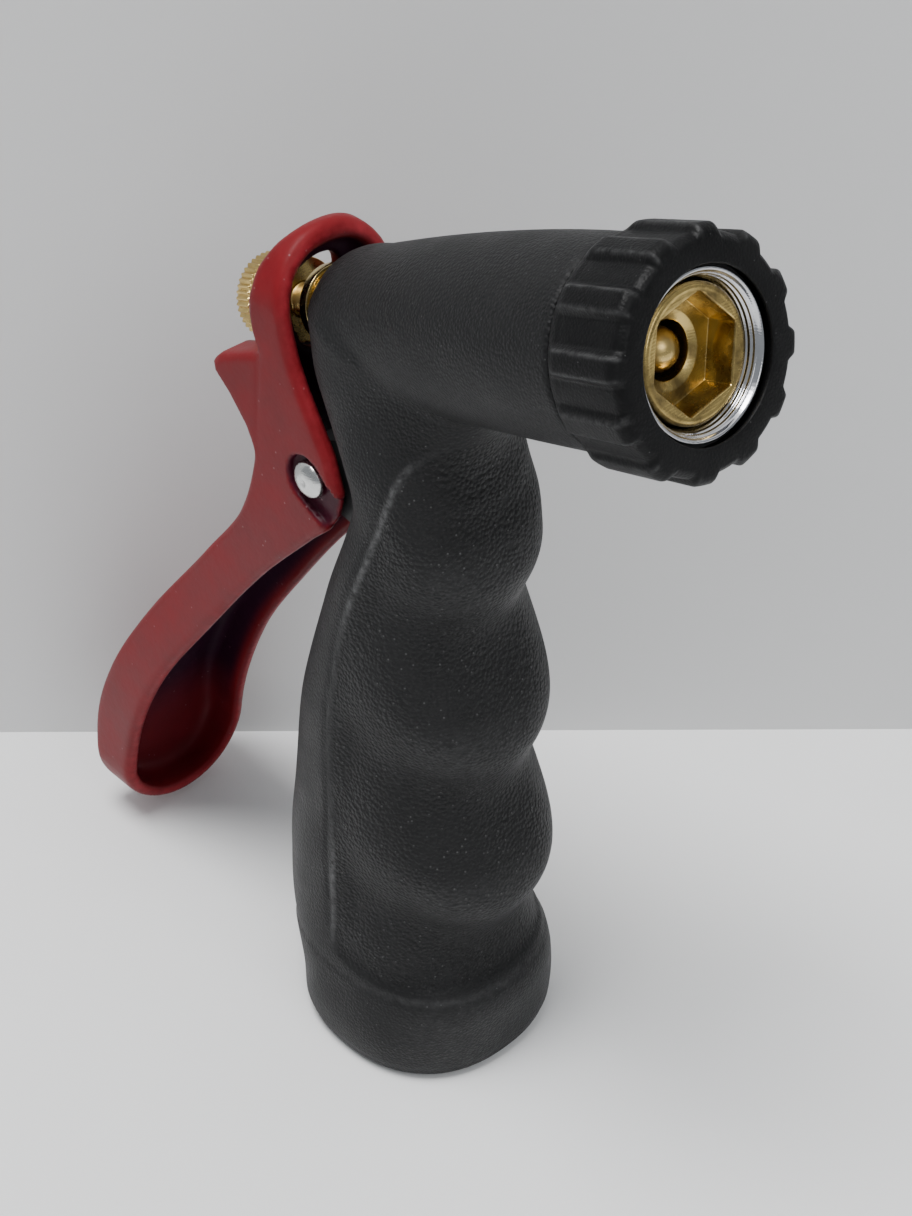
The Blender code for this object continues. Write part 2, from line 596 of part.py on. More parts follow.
def make_frames():
    grip = bpy.data.objects.new("grip_frame", None)
    grip.location = (0, INLET_Y * MM, 0)
    barrel = bpy.data.objects.new("barrel_frame", None)
    barrel.parent = grip
    barrel.location = (0, 0, BARREL_HEIGHT * MM)
    barrel.rotation_euler = (radians(90 - BARREL_RISE), 0, 0)
    for frame in (grip, barrel):
        bpy.context.collection.objects.link(frame)
    return grip, barrel


def main():
    clear_scene()
    finishes = {
        "casting": material("black_coated_casting", (0.02, 0.02, 0.021), 0.5),
        "cover": material("black_grained_rubber", (0.018, 0.018, 0.019), 0.62),
        "bumper": material("black_smooth_rubber", (0.012, 0.012, 0.013), 0.5),
        "seal": material("black_nitrile", (0.02, 0.02, 0.02), 0.6),
        "chrome": material("chrome_plate", (0.78, 0.78, 0.8), 0.12, 1.0),
        "brass": material("bright_brass", (0.72, 0.52, 0.2), 0.28, 1.0),
        "steel": material("zinc_plated_steel", (0.66, 0.66, 0.66), 0.25, 1.0),
        "spring": material("stainless_wire", (0.55, 0.55, 0.56), 0.3, 1.0),
        "nylon": material("white_nylon", (0.75, 0.74, 0.7), 0.5),
        "lever": material("red_enamel", (0.33, 0.03, 0.04), 0.42),
    }
    grip, barrel = frames = make_frames()
    make_body(frames, finishes["casting"])
    make_cover(frames, finishes["cover"])
    make_bumper(barrel, finishes["bumper"])
    make_outlet(barrel, finishes)
    make_gland(barrel, finishes)
    make_spring(barrel, finishes["spring"])
    slide = make_valve(barrel, finishes)
    make_adjuster(slide, finishes)
    make_lever(frames, finishes["lever"])
    make_pivot(grip, finishes)
    place_mesh("hose_washer", ring(CUP_DEPTH - 2.7, CUP_DEPTH - GAP, 8.6, 12.6), finishes["seal"], grip)


main()
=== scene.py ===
"""Finished look of a pistol-grip hose nozzle: skins, finishes, stage, light and camera.

Shapes are worked out in millimetres in two frames: the grip frame, with Z up the inlet's
axis and Y towards the lever, and the barrel frame (x, up, s), s running forward along the
barrel. They are turned into metres in the part's own frame as they go into a mesh.
"""

import json
from math import cos, pi, radians, sin, tau

import bpy
import numpy as np
from bpy.props import FloatProperty, FloatVectorProperty, PointerProperty
from mathutils import Matrix, Vector


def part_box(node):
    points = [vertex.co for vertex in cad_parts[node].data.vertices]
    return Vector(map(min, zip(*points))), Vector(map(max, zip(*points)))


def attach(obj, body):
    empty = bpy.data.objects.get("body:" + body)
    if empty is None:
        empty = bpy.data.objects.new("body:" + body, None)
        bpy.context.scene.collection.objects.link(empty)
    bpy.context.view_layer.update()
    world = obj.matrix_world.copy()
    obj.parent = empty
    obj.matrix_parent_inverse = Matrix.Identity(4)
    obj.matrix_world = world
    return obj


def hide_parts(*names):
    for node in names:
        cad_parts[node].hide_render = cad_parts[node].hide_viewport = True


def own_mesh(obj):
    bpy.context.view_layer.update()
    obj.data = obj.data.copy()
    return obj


bl_info = {
    "name": "Pistol-grip hose nozzle",
    "version": (1, 0, 0),
    "blender": (4, 5, 0),
    "location": "View3D > Sidebar > Nozzle",
    "description": "Builds the nozzle's finished pieces, its stage, light and camera",
    "category": "Object",
}

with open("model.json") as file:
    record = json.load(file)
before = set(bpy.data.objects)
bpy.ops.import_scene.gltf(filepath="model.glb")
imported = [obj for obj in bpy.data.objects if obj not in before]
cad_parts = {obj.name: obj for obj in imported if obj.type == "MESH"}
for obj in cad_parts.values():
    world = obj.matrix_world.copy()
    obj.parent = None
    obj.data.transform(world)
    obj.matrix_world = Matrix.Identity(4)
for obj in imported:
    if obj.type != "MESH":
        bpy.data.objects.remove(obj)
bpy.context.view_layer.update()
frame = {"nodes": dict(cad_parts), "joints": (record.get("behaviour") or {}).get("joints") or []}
JOINTS = {joint["name"]: joint for joint in frame["joints"]}
MM = 0.001

# The two frames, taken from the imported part: the inlet's axis, the barrel's axis and the rivet. RISE
# is the barrel's slope, which climbs towards its mouth.
INLET_Y = sum(corner.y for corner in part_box("hose_washer")) / 2 / MM
REARWARD = np.array(JOINTS["valve_slide"]["axis"])
NUT_POINT = np.array(JOINTS["nut_spin"]["pos_m"]) / MM
BARREL_Z = NUT_POINT[2] - (NUT_POINT[1] - INLET_Y) * REARWARD[2] / REARWARD[1]
PIVOT_Y = JOINTS["lever_squeeze"]["pos_m"][1] / MM - INLET_Y
PIVOT_Z = JOINTS["lever_squeeze"]["pos_m"][2] / MM
RISE_COS, RISE_SIN = REARWARD[1], -REARWARD[2]
GAP = 0.3  # room between the cover and the casting inside it

# Grip: (height, distance from the inlet's axis) points of its rear, front and side lines
GRIP_BACK = (
    (0, 18.2), (8, 18.0), (15, 20.7), (30, 21.8), (44, 20.6), (56, 18.6), (68, 15.8),
    (80, 11.5), (92, 7.0), (98, 5.8), (104, 8.0), (110, 11.6), (115, 13.2), (120, 12.0),
)
GRIP_FRONT = ((0, 18.2), (10, 18.9), (36, 21.1), (64, 19.9), (92, 17.8), (104, 17.0), (120, 16.0))
GRIP_HALF_WIDTH = (
    (0, 17.7), (6, 18.1), (16, 17.1), (45, 15.8), (85, 14), (98, 12.5), (106, 11.9), (120, 8.6),
)
GRIP_ROUNDNESS, GRIP_TOP, FOOT_EDGE = 2.3, 119.0, 2.2
FOOT_BAND_TOP, FOOT_BAND_STEP = 16.4, 0.28

# Finger grooves: a wave down the grip's front, counted from its topmost ridge
FINGER_PITCH, FINGER_TOP, FINGER_DEPTH, FINGER_SKEW = 27.7, 92.0, 4.1, 0.2
FINGER_START, FINGER_FADE = 12.0, 6.0
THROAT_LOW, THROAT_HIGH, THROAT_EASE = 99.0, 104.0, 0.24  # the grooves ease off in the throat
GROOVE_SLANT = 0.3  # how far a finger groove climbs for each millimetre round from the front
FLANK_SHARE = 0.25  # part of the groove's depth that reaches the grip's flanks
FRONT_FLAT, GROOVE_REACH = 3.0, 14.0

# Barrel: the sizes of its skin
BARREL_FRONT, BARREL_RADIUS, BARREL_TAPER, BARREL_TAPER_POWER = 38.6, 12.9, 0.0057, 1.75
DOME_START, DOME_LENGTH, DOME_ROUNDNESS = -5.6, 9.4, 2.5
SIDE_THINNING, BELLY_THINNING, MEAN_RADIUS = 0.8, 0.2, 10.5

# The casting inside the cover: (height, radius) and (height, centre) points of its grip tube,
# (station, radius) points of its barrel, its inlet cup and its pivot lug
CORE_BOTTOM, CORE_TOP = 19.0, 122.0
CORE = ((19, 15.0), (30, 10.4), (60, 8.6), (90, 8.0), (122, 7.6))
CORE_Y = ((19, 0.0), (30, 0.0), (60, -0.5), (90, -3.5), (122, -5.2))
BARREL_CORE = (
    (-18, 5.6), (-9, 5.6), (-5, 6.2), (4, 8.0), (12, 8.8), (20, 9.5), (30, 10.2), (38, 10.6), (60, 10.6),
)
CUP_RADIUS, CUP_TOP = 15.0, 20.6
LUG_HALF_WIDTH, LUG_RADIUS = 6.8, 4.8
LUG_BLOCK = ((4.0, 106.3), (-4.0, 106.3), (-4.0, 90.7), (4.0, 90.7))

# Finger panel on the grip's sides: (height, y) points of its rear edge, and its border groove
PANEL_SIDE = (
    (14, 0.5), (18, 2.0), (26, 2.4), (46, 2.8), (66, 2.6), (80, 0.5), (92, -3.2), (102, -6.6),
    (110, -9.2), (116, -14.0), (122, -20.0),
)
PANEL_BOTTOM, PANEL_TOP, PANEL_DEPTH, PANEL_CORNER = 17.5, 113.5, 0.45, 2.0
BORDER_GROOVE, BORDER_OFFSET, BORDER_WIDTH = 0.3, 0.9, 0.5
UNDER_BARREL = (-14.0, -12.0)  # heights off the barrel's axis between which the panel fades out
COVER_BOX, COVER_CELL = ((-19.2, -43.0, -1.2), (19.2, 23.4, 150.6)), 0.62

# Lever: (height, y) points of its rear and front lines, (y, height) corners of its ear, crown and
# spur, and the saddle's centre and radius
LEVER_HALF_WIDTH, LEVER_END_HALF_WIDTH, LEVER_WALL = 10.2, 12.5, 2.2
LEVER_BACK = (
    (1, 68.4), (6, 69.2), (20, 68.5), (36, 62.3), (51.5, 52.5), (72, 36.5), (84, 27.4),
    (94.5, 23.4), (102, 22.2), (108, 21.4), (114, 20.8),
)
LEVER_FRONT = ((1, 61.0), (8, 60.8), (20, 58.5), (38, 50.5), (56.5, 37.5), (75, 23.0), (87, 11.8))
EAR = (
    (8.6, 90.0), (6.4, 93.5), (5.4, 97.5), (7.0, 102.6), (9.6, 107.0), (12.0, 111.0), (13.8, 115.0),
    (14.8, 118.5), (15.3, 121.5), (16.0, 125.0), (16.8, 128.5), (17.2, 131.5),
)
CROWN = ((18.6, 131.2), (19.9, 130.1), (20.9, 128.2), (21.7, 125.4))
SADDLE = (9.3, 119.5, 13.0)
ARCH_Z, TOE_Z, TOE_LENGTH = 120.2, 13.6, 11.6
SPUR = (
    (19.8, 113.6), (24.5, 111.5), (29.6, 109.0), (31.0, 107.6), (30.8, 105.9), (27.8, 103.4),
    (24.6, 99.8), (21.5, 93.5),
)
SLOT_HALF_WIDTH, SLOT_BOTTOM, SLOT_TOP, SLOT_FRONT = 4.4, 111.0, 125.0, 16.0
NUT_CLEARANCE, SADDLE_STATION = 6.6, -23.3
POCKET_RADIUS, POCKET_TAIL, RIVET_HOLE = 3.8, 9.0, 1.59  # the recess round the rivet
LEVER_BOX, LEVER_CELL = ((-14.0, 3.4, 0.4), (14.0, 71.6, 133.2)), 0.55

# Stem, gland and spring, as stations along the barrel and radii
STEM_REAR, STEM_FRONT, STEM_RADIUS = -34.4, 34.1, 2.4
STEM_RINGS, RING_PITCH, RING_DEPTH = 44, 0.25, 0.16
GLAND_BORE, GLAND_NECK, GLAND_END = 2.49, 3.95, -20.2
GLAND_STEPS = ((-14.7, 4.4), (-16.1, 4.9), (-17.8, 5.5), (-19.2, 4.1))
SPRING_BACK, SPRING_FRONT, SPRING_RADIUS, SPRING_WIRE, SPRING_COILS = 6.2, 34.1, 4.25, 0.55, 8.5

# Mouth and bumper, along the barrel
FACE = 51.4
BUMPER_BACK, BUMPER_RADIUS, BUMPER_BORE, BUMPER_LIP = 38.9, 14.85, 10.9, 10.3
FLUTES, FLUTE_DEPTH = 12, 0.95  # round the bumper
COLLAR_FACE, SEAT_FACE = 50.5, 49.2
HEX_HALF_FLATS, HEX_DEPTH, HEX_TURN = 6.15, 4.3, 20.0  # the seat's socket, turned in degrees

# Camera, wall and lamps, in metres and degrees
CAMERA_AZIMUTH, CAMERA_PITCH, CAMERA_ROLL, CAMERA_LENS = -42.84, 38.31, -0.2, 71.05
CAMERA_SPOT = (-0.17441, -0.19521 + INLET_Y * MM, 0.28355)
WALL_DISTANCE, STAGE_REACH, WALL_HEIGHT = 0.3235, 1.6, 1.5
LAMPS = (  # name, place, size and share of the key light's power
    ("key", (-0.2, 0.0, 1.0), 0.4, 1.0),
    ("front", (-0.1, -0.9, 0.8), 0.6, 0.3),
    ("right", (0.75, -0.3, 0.5), 0.5, 0.2),
)
LAMP_AIM = (0, 0, 0.08)
ROOM_COLOUR, ROOM_STRENGTH = (0.9, 0.95, 1.0, 1), 0.4


# ---------------------------------------------------------------- shapes

# How a skin's points settle on the surface: passes, the step that finds the slope in millimetres, the
# least squared slope divided by, and the farthest move as a share of a cell
SNAP_PASSES, SNAP_NUDGE, LEAST_SLOPE, MOST_SNAP = 2, 0.05, 0.1, 0.45
NO_TRIANGLES = np.zeros((0, 3), int)


def smooth(points, at):
    """A smooth curve through (position, value) points: cubic pieces that share slopes at the points."""
    x, y = np.array(points, float).T
    slope = np.gradient(y, x)
    at = np.clip(at, x[0], x[-1])
    i = np.clip(np.searchsorted(x, at, side="right") - 1, 0, len(x) - 2)
    h = x[i + 1] - x[i]
    t = (at - x[i]) / h
    rise = (2 * t**3 - 3 * t**2 + 1) * y[i] + (3 * t**2 - 2 * t**3) * y[i + 1]
    return rise + h * ((t**3 - 2 * t**2 + t) * slope[i] + (t**3 - t**2) * slope[i + 1])


def ramp(value, start, end):
    """0 before start, 1 after end, and an S-curve between."""
    t = np.clip((value - start) / (end - start), 0, 1)
    return t * t * (3 - 2 * t)


def bell(value, middle, width):
    """1 at the middle, falling off on both sides as the exponential of the squared distance."""
    return np.exp(-(((value - middle) / width) ** 2))


def union(a, b, radius):
    """Joins two distance fields with a fillet: the lower one, less a parabola where they are close."""
    near = np.clip(radius - np.abs(a - b), 0, None)
    return np.minimum(a, b) - near * near / (4 * radius)


def overlap(a, b, radius):
    """Keeps what two fields share, the edge between them rounded over."""
    return -union(-a, -b, radius)


def to_barrel(y, z):
    """Grip-frame y and z as height above the barrel's axis and station along it."""
    z = z - BARREL_Z
    return y * RISE_SIN + z * RISE_COS, -y * RISE_COS + z * RISE_SIN


def from_barrel(x, up, s):
    """Barrel-frame points as grip-frame points."""
    return np.stack([x, -s * RISE_COS + up * RISE_SIN, BARREL_Z + s * RISE_SIN + up * RISE_COS], -1)


def outline_distance(u, v, corners):
    """Signed distance to a closed outline: the nearest edge's distance, negative inside it."""
    corners = np.array(corners, float)
    nearest = np.full(np.broadcast(u, v).shape, 1e9)
    inside = np.zeros(nearest.shape, bool)
    for (au, av), (bu, bv) in zip(corners, np.roll(corners, -1, 0)):
        du, dv = bu - au, bv - av
        share = np.clip(((u - au) * du + (v - av) * dv) / (du * du + dv * dv + 1e-12), 0, 1)
        nearest = np.minimum(nearest, (u - au - share * du) ** 2 + (v - av - share * dv) ** 2)
        crosses = (av > v) != (bv > v)
        where = u < au + (v - av) * du / (dv if dv else 1e-12)
        inside ^= crosses & where
    return np.where(inside, -1, 1) * np.sqrt(nearest)


def arc(centre, radius, start, end, steps):
    """Points on a circle between two angles in degrees."""
    turn = np.radians(np.linspace(start, end, steps + 1))
    return list(zip(centre[0] + radius * np.cos(turn), centre[1] + radius * np.sin(turn)))


def skin_of(field, low, high, cell):
    """Surface of a distance field by surface nets. Each grid cell that the surface crosses gets one
    point, the mean of the crossings on its edges, then moved down the field's slope onto the surface.
    Each crossed grid edge gets one face, through the four cells round it."""
    counts = np.ceil((np.array(high) - low) / cell).astype(int) + 1
    axes = [start + cell * np.arange(n) for start, n in zip(low, counts)]
    value = np.asarray(field(*np.meshgrid(*axes, indexing="ij", sparse=True)), np.float32)
    inside = value < 0
    cells = tuple(counts - 1)
    corners = [
        inside[i : i + cells[0], j : j + cells[1], k : k + cells[2]]
        for i in (0, 1)
        for j in (0, 1)
        for k in (0, 1)
    ]
    mixed = np.any(corners, axis=0) & ~np.all(corners, axis=0)
    where = np.argwhere(mixed)
    index = np.full(cells, -1, np.int64)
    index[mixed] = np.arange(len(where))
    total = np.zeros((len(where), 3))
    hits = np.zeros(len(where))
    faces = []
    unit = np.eye(3, dtype=int)
    for axis in range(3):
        step = unit[axis]
        side = (unit[(axis + 1) % 3], unit[(axis + 2) % 3])
        for a in (0, 1):
            for b in (0, 1):
                start = where + a * side[0] + b * side[1]
                one = value[tuple(start.T)]
                two = value[tuple((start + step).T)]
                crossed = (one < 0) != (two < 0)
                share = one / np.where(crossed, one - two, 1)
                total += crossed[:, None] * (start + share[:, None] * step)
                hits += crossed
        before = [slice(None)] * 3
        after = [slice(None)] * 3
        before[axis], after[axis] = slice(None, -1), slice(1, None)
        edge = np.argwhere(inside[tuple(before)] != inside[tuple(after)])
        room = (edge[:, (axis + 1) % 3] > 0) & (edge[:, (axis + 2) % 3] > 0)
        edge = edge[room]
        ring = [edge - a * side[0] - b * side[1] for a, b in ((0, 0), (1, 0), (1, 1), (0, 1))]
        quad = np.stack([index[tuple(r.T)] for r in ring], 1)
        leaving = inside[tuple(edge.T)]
        faces.append(np.where(leaving[:, None], quad, quad[:, ::-1]))
    points = np.array(low) + cell * total / hits[:, None]
    for _ in range(SNAP_PASSES):
        here = field(*points.T)
        nudges = SNAP_NUDGE * np.eye(3)
        rises = [field(*(points + nudge).T) - field(*(points - nudge).T) for nudge in nudges]
        slope = np.stack(rises, 1) / (2 * SNAP_NUDGE)
        move = here[:, None] * slope / np.maximum((slope**2).sum(1), LEAST_SLOPE)[:, None]
        points -= np.clip(move, -MOST_SNAP * cell, MOST_SNAP * cell)
    return points, np.concatenate(faces), NO_TRIANGLES


def grid_faces(rows, columns, closed):
    """Quads between the neighbours of a grid whose columns close on themselves, and whose rows may."""
    i = np.arange(rows if closed else rows - 1)[:, None]
    j = np.arange(columns)[None]
    below, right = (i + 1) % rows, (j + 1) % columns
    corner = [i * columns + j, i * columns + right, below * columns + right, below * columns + j]
    return np.stack([np.broadcast_to(c, (len(i), columns)) for c in corner], -1).reshape(-1, 4)


def end_fans(first, base, steps):
    """Triangles that close a grid of rings: from point number first to the ring that starts at 0, and
    from the next point to the ring that starts at base."""
    j = np.arange(steps)
    k = (j + 1) % steps
    near = np.stack([first + 0 * j, k, j], 1)
    far = np.stack([first + 1 + 0 * j, base + j, base + k], 1)
    return np.concatenate([near, far])


def turned(profile, ripple=None, steps=160):
    """A body turned about the barrel's axis. Its profile is (station, radius) points, and a radius is
    drawn in by ripple(turn, station, radius). A profile whose ends lie on the axis gets a pole at each,
    and any other closes on itself."""
    profile = np.array(profile, float)
    turn = np.linspace(0, tau, steps, endpoint=False)[None]
    s, r = profile[:, :1], profile[:, 1:]
    pole = r[0, 0] < 1e-6 and r[-1, 0] < 1e-6
    if pole:
        s, r = s[1:-1], r[1:-1]
    radius = r - (ripple(turn, s, r) if ripple else 0)
    points = from_barrel(radius * np.sin(turn), radius * np.cos(turn), s + 0 * turn).reshape(-1, 3)
    faces = grid_faces(len(s), steps, not pole)
    if not pole:
        return points, faces, NO_TRIANGLES
    ends = from_barrel(np.zeros(2), np.zeros(2), profile[[0, -1], 0])
    fans = end_fans(len(points), (len(s) - 1) * steps, steps)
    return np.concatenate([points, ends]), faces, fans


def rounded(corners, radius=0.25, steps=4):
    """A closed outline with each corner swapped for a short curve: points of a parabola that starts and
    ends at most a radius away along the two sides."""
    corners = [np.array(corner, float) for corner in corners]
    made = []
    for i, corner in enumerate(corners):
        before, after = corners[i - 1] - corner, corners[(i + 1) % len(corners)] - corner
        reach = min(radius, 0.45 * np.hypot(*before), 0.45 * np.hypot(*after))
        a = corner + before / max(np.hypot(*before), 1e-9) * reach
        b = corner + after / max(np.hypot(*after), 1e-9) * reach
        for t in np.linspace(0, 1, steps + 1):
            made.append((1 - t) ** 2 * a + 2 * t * (1 - t) * corner + t * t * b)
    return made


def add_piece(name, surface, body, nodes, finish, marks=None, sharp=None):
    """Puts a surface in grip-frame millimetres into a mesh in the part's frame, its faces outwards, and
    rides it on its body. Marks are numbers per point, and edges bent by more than sharp degrees stay
    crisp."""
    points, quads, triangles = surface
    split = np.concatenate([quads[:, [0, 1, 2]], quads[:, [0, 2, 3]], triangles])
    a, b, c = (points[split[:, k]] for k in range(3))
    if np.einsum("ij,ij->i", a, np.cross(b, c)).sum() < 0:
        quads, triangles = quads[:, ::-1], triangles[:, ::-1]
    place = (points + (0, INLET_Y, 0)) * MM
    loops = np.concatenate([quads.ravel(), triangles.ravel()]).astype(np.int32)
    sizes = np.concatenate([np.full(len(quads), 4), np.full(len(triangles), 3)])
    starts = np.concatenate([[0], np.cumsum(sizes)[:-1]]).astype(np.int32)
    mesh = bpy.data.meshes.new(name)
    mesh.vertices.add(len(place))
    mesh.vertices.foreach_set("co", place.astype(np.float32).ravel())
    mesh.loops.add(len(loops))
    mesh.loops.foreach_set("vertex_index", loops)
    mesh.polygons.add(len(starts))
    mesh.polygons.foreach_set("loop_start", starts)
    mesh.update(calc_edges=True)
    mesh.validate()
    mesh.shade_smooth()
    if sharp:
        mesh.set_sharp_from_angle(angle=radians(sharp))
    for mark, values in (marks or {}).items():
        layer = mesh.attributes.new(mark, "FLOAT", "POINT")
        layer.data.foreach_set("value", np.asarray(values, np.float32))
    mesh.materials.append(bpy.data.materials[finish])
    piece = bpy.data.objects.new(name, mesh)
    bpy.context.scene.collection.objects.link(piece)
    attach(piece, body)
    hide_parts(*nodes)
    return piece


# ---------------------------------------------------------------- finishes


def add_node(tree, kind, inputs=None, **settings):
    """Adds a shader node, sets its properties, and links or sets each named or numbered input."""
    made = tree.nodes.new(kind)
    for key, value in settings.items():
        setattr(made, key, value)
    for key, value in (inputs or {}).items():
        socket = made.inputs[key]
        if isinstance(value, bpy.types.NodeSocket):
            tree.links.new(value, socket)
        else:
            socket.default_value = value
    return made


def math_node(tree, operation, *values, clamp=False):
    """The output of one math node."""
    inputs = dict(enumerate(values))
    return add_node(tree, "ShaderNodeMath", inputs, operation=operation, use_clamp=clamp).outputs[0]


def mix_colour(tree, share, one, two):
    """A share of colour two mixed into colour one."""
    return add_node(tree, "ShaderNodeMix", {0: share, 6: one, 7: two}, data_type="RGBA").outputs[2]


def mix_value(tree, share, one, two):
    """A share of value two mixed into value one."""
    return add_node(tree, "ShaderNodeMix", {0: share, 2: one, 3: two}).outputs[0]


def spread(tree, value, low, high, to_low=0.0, to_high=1.0):
    """Stretches the range from low to high over another range, and stops at its ends."""
    made = add_node(tree, "ShaderNodeMapRange", {0: value, 1: low, 2: high, 3: to_low, 4: to_high})
    return made.outputs[0]


def new_group(name, inputs, outputs):
    """An empty shader group with typed, named sockets; returns it with its input and output nodes."""
    group = bpy.data.node_groups.new(name, "ShaderNodeTree")
    for label, kind, value in inputs:
        socket = group.interface.new_socket(label, in_out="INPUT", socket_type=kind)
        if value is not None:
            socket.default_value = value
    for label, kind in outputs:
        group.interface.new_socket(label, in_out="OUTPUT", socket_type=kind)
    return group, group.nodes.new("NodeGroupInput"), group.nodes.new("NodeGroupOutput")


def grain_group():
    """Moulded grain: rounded cells with creases between them, broken up by noise, and pale specks in a
    few cells."""
    group, given, made = new_group(
        "Moulded grain",
        (
            ("Vector", "NodeSocketVector", None),
            ("Scale", "NodeSocketFloat", 1500.0),
            ("Specks", "NodeSocketFloat", 0.1),
        ),
        (("Height", "NodeSocketFloat"), ("Speck", "NodeSocketFloat"), ("Blotch", "NodeSocketFloat")),
    )
    vector, scale, specks = given.outputs[:3]
    inputs = {"Vector": vector, "Scale": scale, "Randomness": 0.9}
    cells = add_node(group, "ShaderNodeTexVoronoi", inputs, feature="F1")
    crease = spread(group, cells.outputs["Distance"], 0.15, 0.75, 1.0, 0.0)
    inputs = {"Vector": vector, "Scale": math_node(group, "MULTIPLY", scale, 1.7), "Detail": 3.0}
    fine = add_node(group, "ShaderNodeTexNoise", inputs)
    height = math_node(group, "ADD", crease, math_node(group, "MULTIPLY", fine.outputs[0], 0.6))
    inputs = {"Vector": vector, "Scale": math_node(group, "MULTIPLY", scale, 0.06), "Detail": 4.0}
    wide = add_node(group, "ShaderNodeTexNoise", inputs)
    chance = add_node(group, "ShaderNodeTexWhiteNoise", {"Vector": cells.outputs["Position"]})
    limit = math_node(group, "SUBTRACT", 1.0, math_node(group, "MULTIPLY", specks, wide.outputs[0]))
    picked = math_node(group, "GREATER_THAN", chance.outputs[0], limit)
    dot = spread(group, cells.outputs["Distance"], 0.06, 0.28, 1.0, 0.0)
    speck = math_node(group, "MULTIPLY", picked, dot)
    for socket, value in zip(made.inputs, (height, speck, wide.outputs[0])):
        group.links.new(value, socket)
    return group


def edge_wear_and_highlight_group():
    """Rubbed edges and painted edge highlights: mixes a paler colour in where the piece's own edge mark is
    high, broken up by noise.
    """
    group, given, made = new_group(
        "Rubbed and highlit edges",
        (
            ("Color", "NodeSocketColor", (0.5, 0.5, 0.5, 1)),
            ("Edge Color", "NodeSocketColor", (0.8, 0.8, 0.8, 1)),
            ("Edge", "NodeSocketFloat", 0.0),
            ("Amount", "NodeSocketFloat", 0.5),
            ("Scale", "NodeSocketFloat", 400.0),
            ("Vector", "NodeSocketVector", None),
        ),
        (("Color", "NodeSocketColor"), ("Mask", "NodeSocketFloat")),
    )
    colour, edge_tint, edge, amount, scale, vector = given.outputs[:6]
    inputs = {"Vector": vector, "Scale": scale, "Detail": 5.0, "Roughness": 0.65}
    noise = add_node(group, "ShaderNodeTexNoise", inputs)
    broken = math_node(group, "MULTIPLY", edge, spread(group, noise.outputs[0], 0.3, 0.68))
    mask = math_node(group, "MULTIPLY", broken, amount, clamp=True)
    group.links.new(mix_colour(group, mask, colour, edge_tint), made.inputs[0])
    group.links.new(mask, made.inputs[1])
    return group


def metal_group():
    """Worked metal: fine tool lines round the barrel's axis, cloudy tarnish, and small pits."""
    group, given, made = new_group(
        "Worked metal",
        (
            ("Color", "NodeSocketColor", (0.7, 0.5, 0.2, 1)),
            ("Tarnish", "NodeSocketColor", (0.3, 0.2, 0.08, 1)),
            ("Amount", "NodeSocketFloat", 0.4),
            ("Gloss", "NodeSocketFloat", 0.2),
            ("Vector", "NodeSocketVector", None),
        ),
        (("Color", "NodeSocketColor"), ("Roughness", "NodeSocketFloat"), ("Height", "NodeSocketFloat")),
    )
    colour, tarnish, amount, gloss, vector = given.outputs[:5]
    inputs = {"Vector": vector, "Scale": 260.0, "Detail": 6.0, "Roughness": 0.62}
    cloud = add_node(group, "ShaderNodeTexNoise", inputs)
    stain = spread(group, cloud.outputs[0], 0.42, 0.66)
    pits = add_node(group, "ShaderNodeTexNoise", {"Vector": vector, "Scale": 1500.0, "Detail": 3.0})
    inputs = {"Vector": vector, "Scale": 900.0, "Distortion": 1.5, "Detail": 2.0}
    lines = add_node(group, "ShaderNodeTexWave", inputs, wave_type="RINGS", rings_direction="Y")
    share = math_node(group, "MULTIPLY", stain, amount, clamp=True)
    group.links.new(mix_colour(group, share, colour, tarnish), made.inputs[0])
    rough = math_node(group, "ADD", gloss, math_node(group, "MULTIPLY", stain, 0.16))
    rough = math_node(group, "ADD", rough, math_node(group, "MULTIPLY", pits.outputs[0], 0.08))
    height = math_node(group, "ADD", math_node(group, "MULTIPLY", lines.outputs[0], 0.4), pits.outputs[0])
    group.links.new(rough, made.inputs[1])
    group.links.new(height, made.inputs[2])
    return group


def new_finish(name, roughness=0.5, metallic=0.0, **sockets):
    """A material with its shader and object coordinates ready."""
    made = bpy.data.materials.new(name)
    made.use_nodes = True
    tree = made.node_tree
    shader = tree.nodes["Principled BSDF"]
    shader.inputs["Roughness"].default_value = roughness
    shader.inputs["Metallic"].default_value = metallic
    for label, value in sockets.items():
        shader.inputs[label.replace("_", " ")].default_value = value
    return made, tree, shader, add_node(tree, "ShaderNodeTexCoord").outputs["Object"]


def fill_group(tree, name, inputs):
    """A shader group placed in a material, its inputs filled by name."""
    return add_node(tree, "ShaderNodeGroup", inputs, node_tree=bpy.data.node_groups[name])


def bump(tree, shader, height, strength, distance):
    """Leads a height into the shader's normal."""
    made = add_node(tree, "ShaderNodeBump", {"Height": height, "Strength": strength, "Distance": distance})
    tree.links.new(made.outputs[0], shader.inputs["Normal"])


def paint(tree, shader, colour, roughness):
    """Leads a colour and a roughness into the shader."""
    tree.links.new(colour, shader.inputs["Base Color"])
    tree.links.new(roughness, shader.inputs["Roughness"])


def mark(tree, name):
    """A number that the piece's mesh carries at each point."""
    return add_node(tree, "ShaderNodeAttribute", attribute_name=name).outputs["Fac"]


